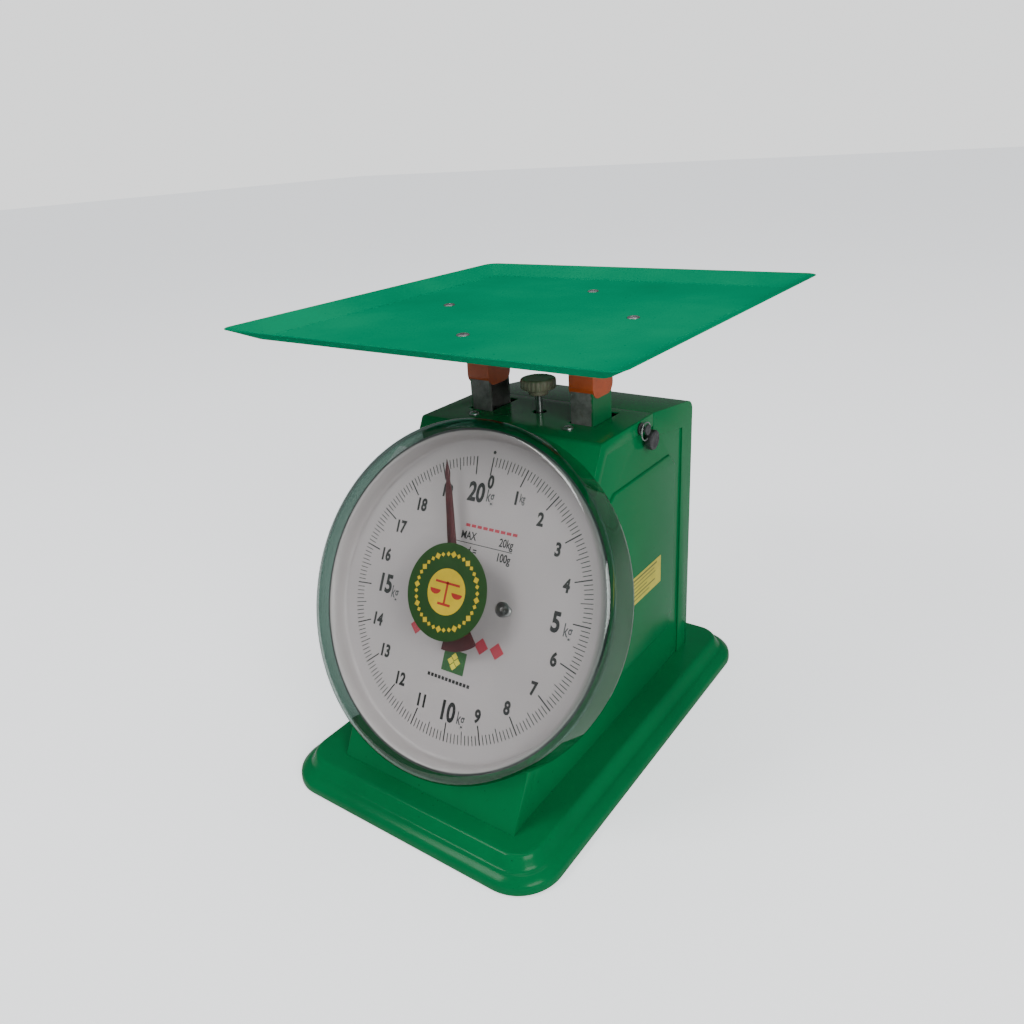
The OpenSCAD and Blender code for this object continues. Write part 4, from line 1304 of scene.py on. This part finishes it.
class SCALE_OT_seal(bpy.types.Operator):
    """Lead seal on its wire, the seal screw and the side label"""

    bl_idname = "scale.seal"
    bl_label = "Seal and label"

    def execute(self, context):
        low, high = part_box("seal_screw")
        centre = (low + high) / 2
        sideways = Matrix.Rotation(math.radians(90), 4, "Y")
        turn = Matrix.Translation((low.x, centre.y, centre.z)) @ sideways
        end = (high.x - low.x) / MM
        profile = [(0, 0), (1.5, 0), (1.5, 5), (3.8, 5), (4, 5.3), (4, 6.3), (3.6, 6.5), (1.9, 6.7),
                   (1.9, end - 1.5), (3.4, end - 1.4), (3.6, end - 1.1), (3.5, end - 0.3), (3.0, end),
                   (0, end)]
        stud = lathe("seal_stud", in_mm(profile), turn, 40)
        dress(stud, "housing", material("lead"), ("seal_screw",))

        hinge = Vector(joint("seal_swing")["pos_m"])
        tilt = Matrix.Translation(hinge) @ Matrix.Rotation(math.radians(45), 4, "X")
        bm = bmesh.new()
        stations, twists, strand, wire = 64, 14, 0.26 * MM, 0.34 * MM
        for phase in (0.0, math.pi):
            loops = []
            for i in range(stations):
                a = 2 * math.pi * i / stations
                t = twists * a + phase
                outward = Vector((0, math.sin(a), math.cos(a)))
                centre = outward * (6 * MM + strand * math.cos(t))
                centre += Vector((strand * math.sin(t), 0, -3.1 * MM))
                section = disc_points(0, 0, wire, 10)
                loops.append([bm.verts.new(centre + u * outward + Vector((v, 0, 0))) for u, v in section])
            bridge_loops(bm, loops, True)
        bmesh.ops.transform(bm, matrix=tilt, verts=bm.verts)
        ring = from_bmesh("seal_wire_twist", bm, 60)
        dress(ring, "seal_tag", material("zinc"), ("seal_wire",))

        disc = tilt @ Matrix.Translation((-1.9 * MM, 0, -14.6 * MM)) @ sideways
        profile = [(0, 0.35), (3.4, 0.35), (3.9, 0.1), (5.6, 0.0), (6.5, 0.45), (6.8, 1.3), (6.7, 2.4),
                   (6.8, 3.5), (6.5, 4.35), (5.6, 4.8), (3.9, 4.7), (3.4, 4.45), (0, 4.45)]
        tag = lathe("lead_seal_disc", in_mm(profile), disc, 40)
        dress(tag, "seal_tag", material("lead"), ("lead_seal",))

        low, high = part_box("side_label")
        mid = (low + high) / 2
        face = Matrix.Translation((low.x, mid.y, mid.z)) @ Matrix(((0, 0, 1), (1, 0, 0), (0, 1, 0))).to_4x4()
        outline = bar_points(0, 0, high.y - low.y, high.z - low.z)
        thickness = 0.16 * MM
        sheet = thin_shapes("label_ground", [outline], 0.0, thickness, face)
        dress(sheet, "housing", material("label_yellow"), ("side_label",))
        # Plain bars stand for the lines of the label: (share of its length, height in millimetres).
        rows = ((0.86, 1.3), (0.78, 0.7), (0.82, 0.7), (0.55, 0.7), (0.80, 1.0), (0.62, 0.7))
        bars = []
        for k, (share, height) in enumerate(rows):
            width = 50 * MM * share
            bars.append(bar_points((width - 46 * MM) / 2, (8.2 - 3.1 * k) * MM, width - 3 * MM, height * MM))
        lines = thin_shapes("label_lines", bars, thickness, 0.03 * MM, face)
        dress(lines, "housing", material("label_ink"))
        return {"FINISHED"}


class SCALE_OT_stage(bpy.types.Operator):
    """Pale floor, soft lamps and the camera"""

    bl_idname = "scale.stage"
    bl_label = "Stage, lamps and camera"

    def execute(self, context):
        self.floor()
        self.lamps()
        self.camera(context)
        return {"FINISHED"}

    def floor(self):
        """Pale floor, brightened for what the camera sees of it and not for the light that it throws."""
        brightening = 1.1
        bm = bmesh.new()
        bmesh.ops.create_grid(bm, x_segments=2, y_segments=2, size=12)
        bmesh.ops.translate(bm, verts=bm.verts, vec=(0, 0, -0.2 * MM))
        ground = from_bmesh("studio_floor", bm)
        s = Shader("Studio floor")
        s.colour(s.ramp(s.noise(3.0, 2.0), (0.3, 0.80), (0.7, 0.83)))
        s.set(Roughness=0.9, Specular_IOR_Level=0.1)
        path = s.nodes.new("ShaderNodeLightPath")
        s.bsdf.inputs["Emission Color"].default_value = (0.95, 0.97, 1.0, 1)
        s.link(s.times(path.outputs["Is Camera Ray"], brightening), s.bsdf.inputs["Emission Strength"])
        ground.data.materials.append(s.material)

    def lamps(self):
        """Three soft lamps, weak light from all round, and a paler backdrop for what the camera sees."""
        world = bpy.data.worlds.new("Studio")
        world.use_nodes = True
        tree = world.node_tree
        light = tree.nodes["Background"]
        light.inputs["Color"].default_value = (0.94, 0.97, 1.0, 1)
        light.inputs["Strength"].default_value = 0.22
        backdrop = tree.nodes.new("ShaderNodeBackground")
        backdrop.inputs["Color"].default_value = (0.86, 0.87, 0.87, 1)
        backdrop.inputs["Strength"].default_value = 1.7
        surface_by_ray(tree, "World Output", "Is Camera Ray", light, backdrop)
        bpy.context.scene.world = world
        for name, spot, aim, size, power in (
            ("key", (-0.7, -1.2, 1.6), (0, 0, 0.15), 0.7, 15.0),
            ("fill", (1.5, -0.8, 1.0), (0, 0, 0.1), 0.9, 22.0),
            ("top", (0.1, 0.3, 2.2), (0, 0, 0.2), 1.4, 12.0),
        ):
            lamp = bpy.data.lights.new(name, "AREA")
            lamp.size = size
            lamp.energy = power
            obj = new_object(name, lamp)
            obj.location = spot
            obj.rotation_euler = (Vector(spot) - Vector(aim)).to_track_quat("Z", "Y").to_euler()

    def camera(self, context):
        """Camera in front of the dial, to its right and above it, with the small roll of a hand-held one."""
        azimuth, elevation, roll = (math.radians(a) for a in (36.66, 23.90, -3.76))
        level = math.cos(elevation)
        back = Vector((math.sin(azimuth) * level, -math.cos(azimuth) * level, math.sin(elevation)))
        right = (-back).cross(Vector((0, 0, 1))).normalized()
        up = right.cross(-back)
        turned_right = math.cos(roll) * right + math.sin(roll) * up
        turned_up = -math.sin(roll) * right + math.cos(roll) * up
        data = bpy.data.cameras.new("Camera")
        data.sensor_width = 36.0
        data.lens = 29.2
        data.clip_start, data.clip_end = 0.01, 50
        obj = new_object("Camera", data)
        axes = Matrix((turned_right, turned_up, back)).transposed()
        stand = (0.3090, -0.4344, 0.4042)
        obj.matrix_world = Matrix.Translation(stand) @ axes.to_4x4()
        context.scene.camera = obj


OPERATORS = (
    SCALE_OT_base, SCALE_OT_casing, SCALE_OT_platform, SCALE_OT_dial, SCALE_OT_pointer, SCALE_OT_cover,
    SCALE_OT_springs, SCALE_OT_zero, SCALE_OT_mechanism, SCALE_OT_screws, SCALE_OT_seal, SCALE_OT_stage)


class SCALE_PT_panel(bpy.types.Panel):
    """Builds the dial scale piece by piece"""

    bl_idname = "SCALE_PT_panel"
    bl_label = "Dial Platform Scale"
    bl_space_type = "VIEW_3D"
    bl_region_type = "UI"
    bl_category = "Dial Scale"

    def draw(self, context):
        layout = self.layout
        for group in (context.scene.scale_paint, context.scene.scale_sizes):
            box = layout.box()
            for name in group.bl_rna.properties.keys():
                if name not in ("rna_type", "name"):
                    box.prop(group, name)
        for operator in OPERATORS:
            layout.operator(operator.bl_idname)


CLASSES = (PaintSettings, SizeSettings) + OPERATORS + (SCALE_PT_panel,)


def register():
    for cls in CLASSES:
        bpy.utils.register_class(cls)
    bpy.types.Scene.scale_paint = PointerProperty(type=PaintSettings)
    bpy.types.Scene.scale_sizes = PointerProperty(type=SizeSettings)


def unregister():
    del bpy.types.Scene.scale_sizes
    del bpy.types.Scene.scale_paint
    for cls in reversed(CLASSES):
        bpy.utils.unregister_class(cls)


def main():
    register()
    for operator in OPERATORS:
        group, name = operator.bl_idname.split(".")
        getattr(getattr(bpy.ops, group), name)()
    bpy.context.view_layer.update()


if __name__ == "__main__":
    main()
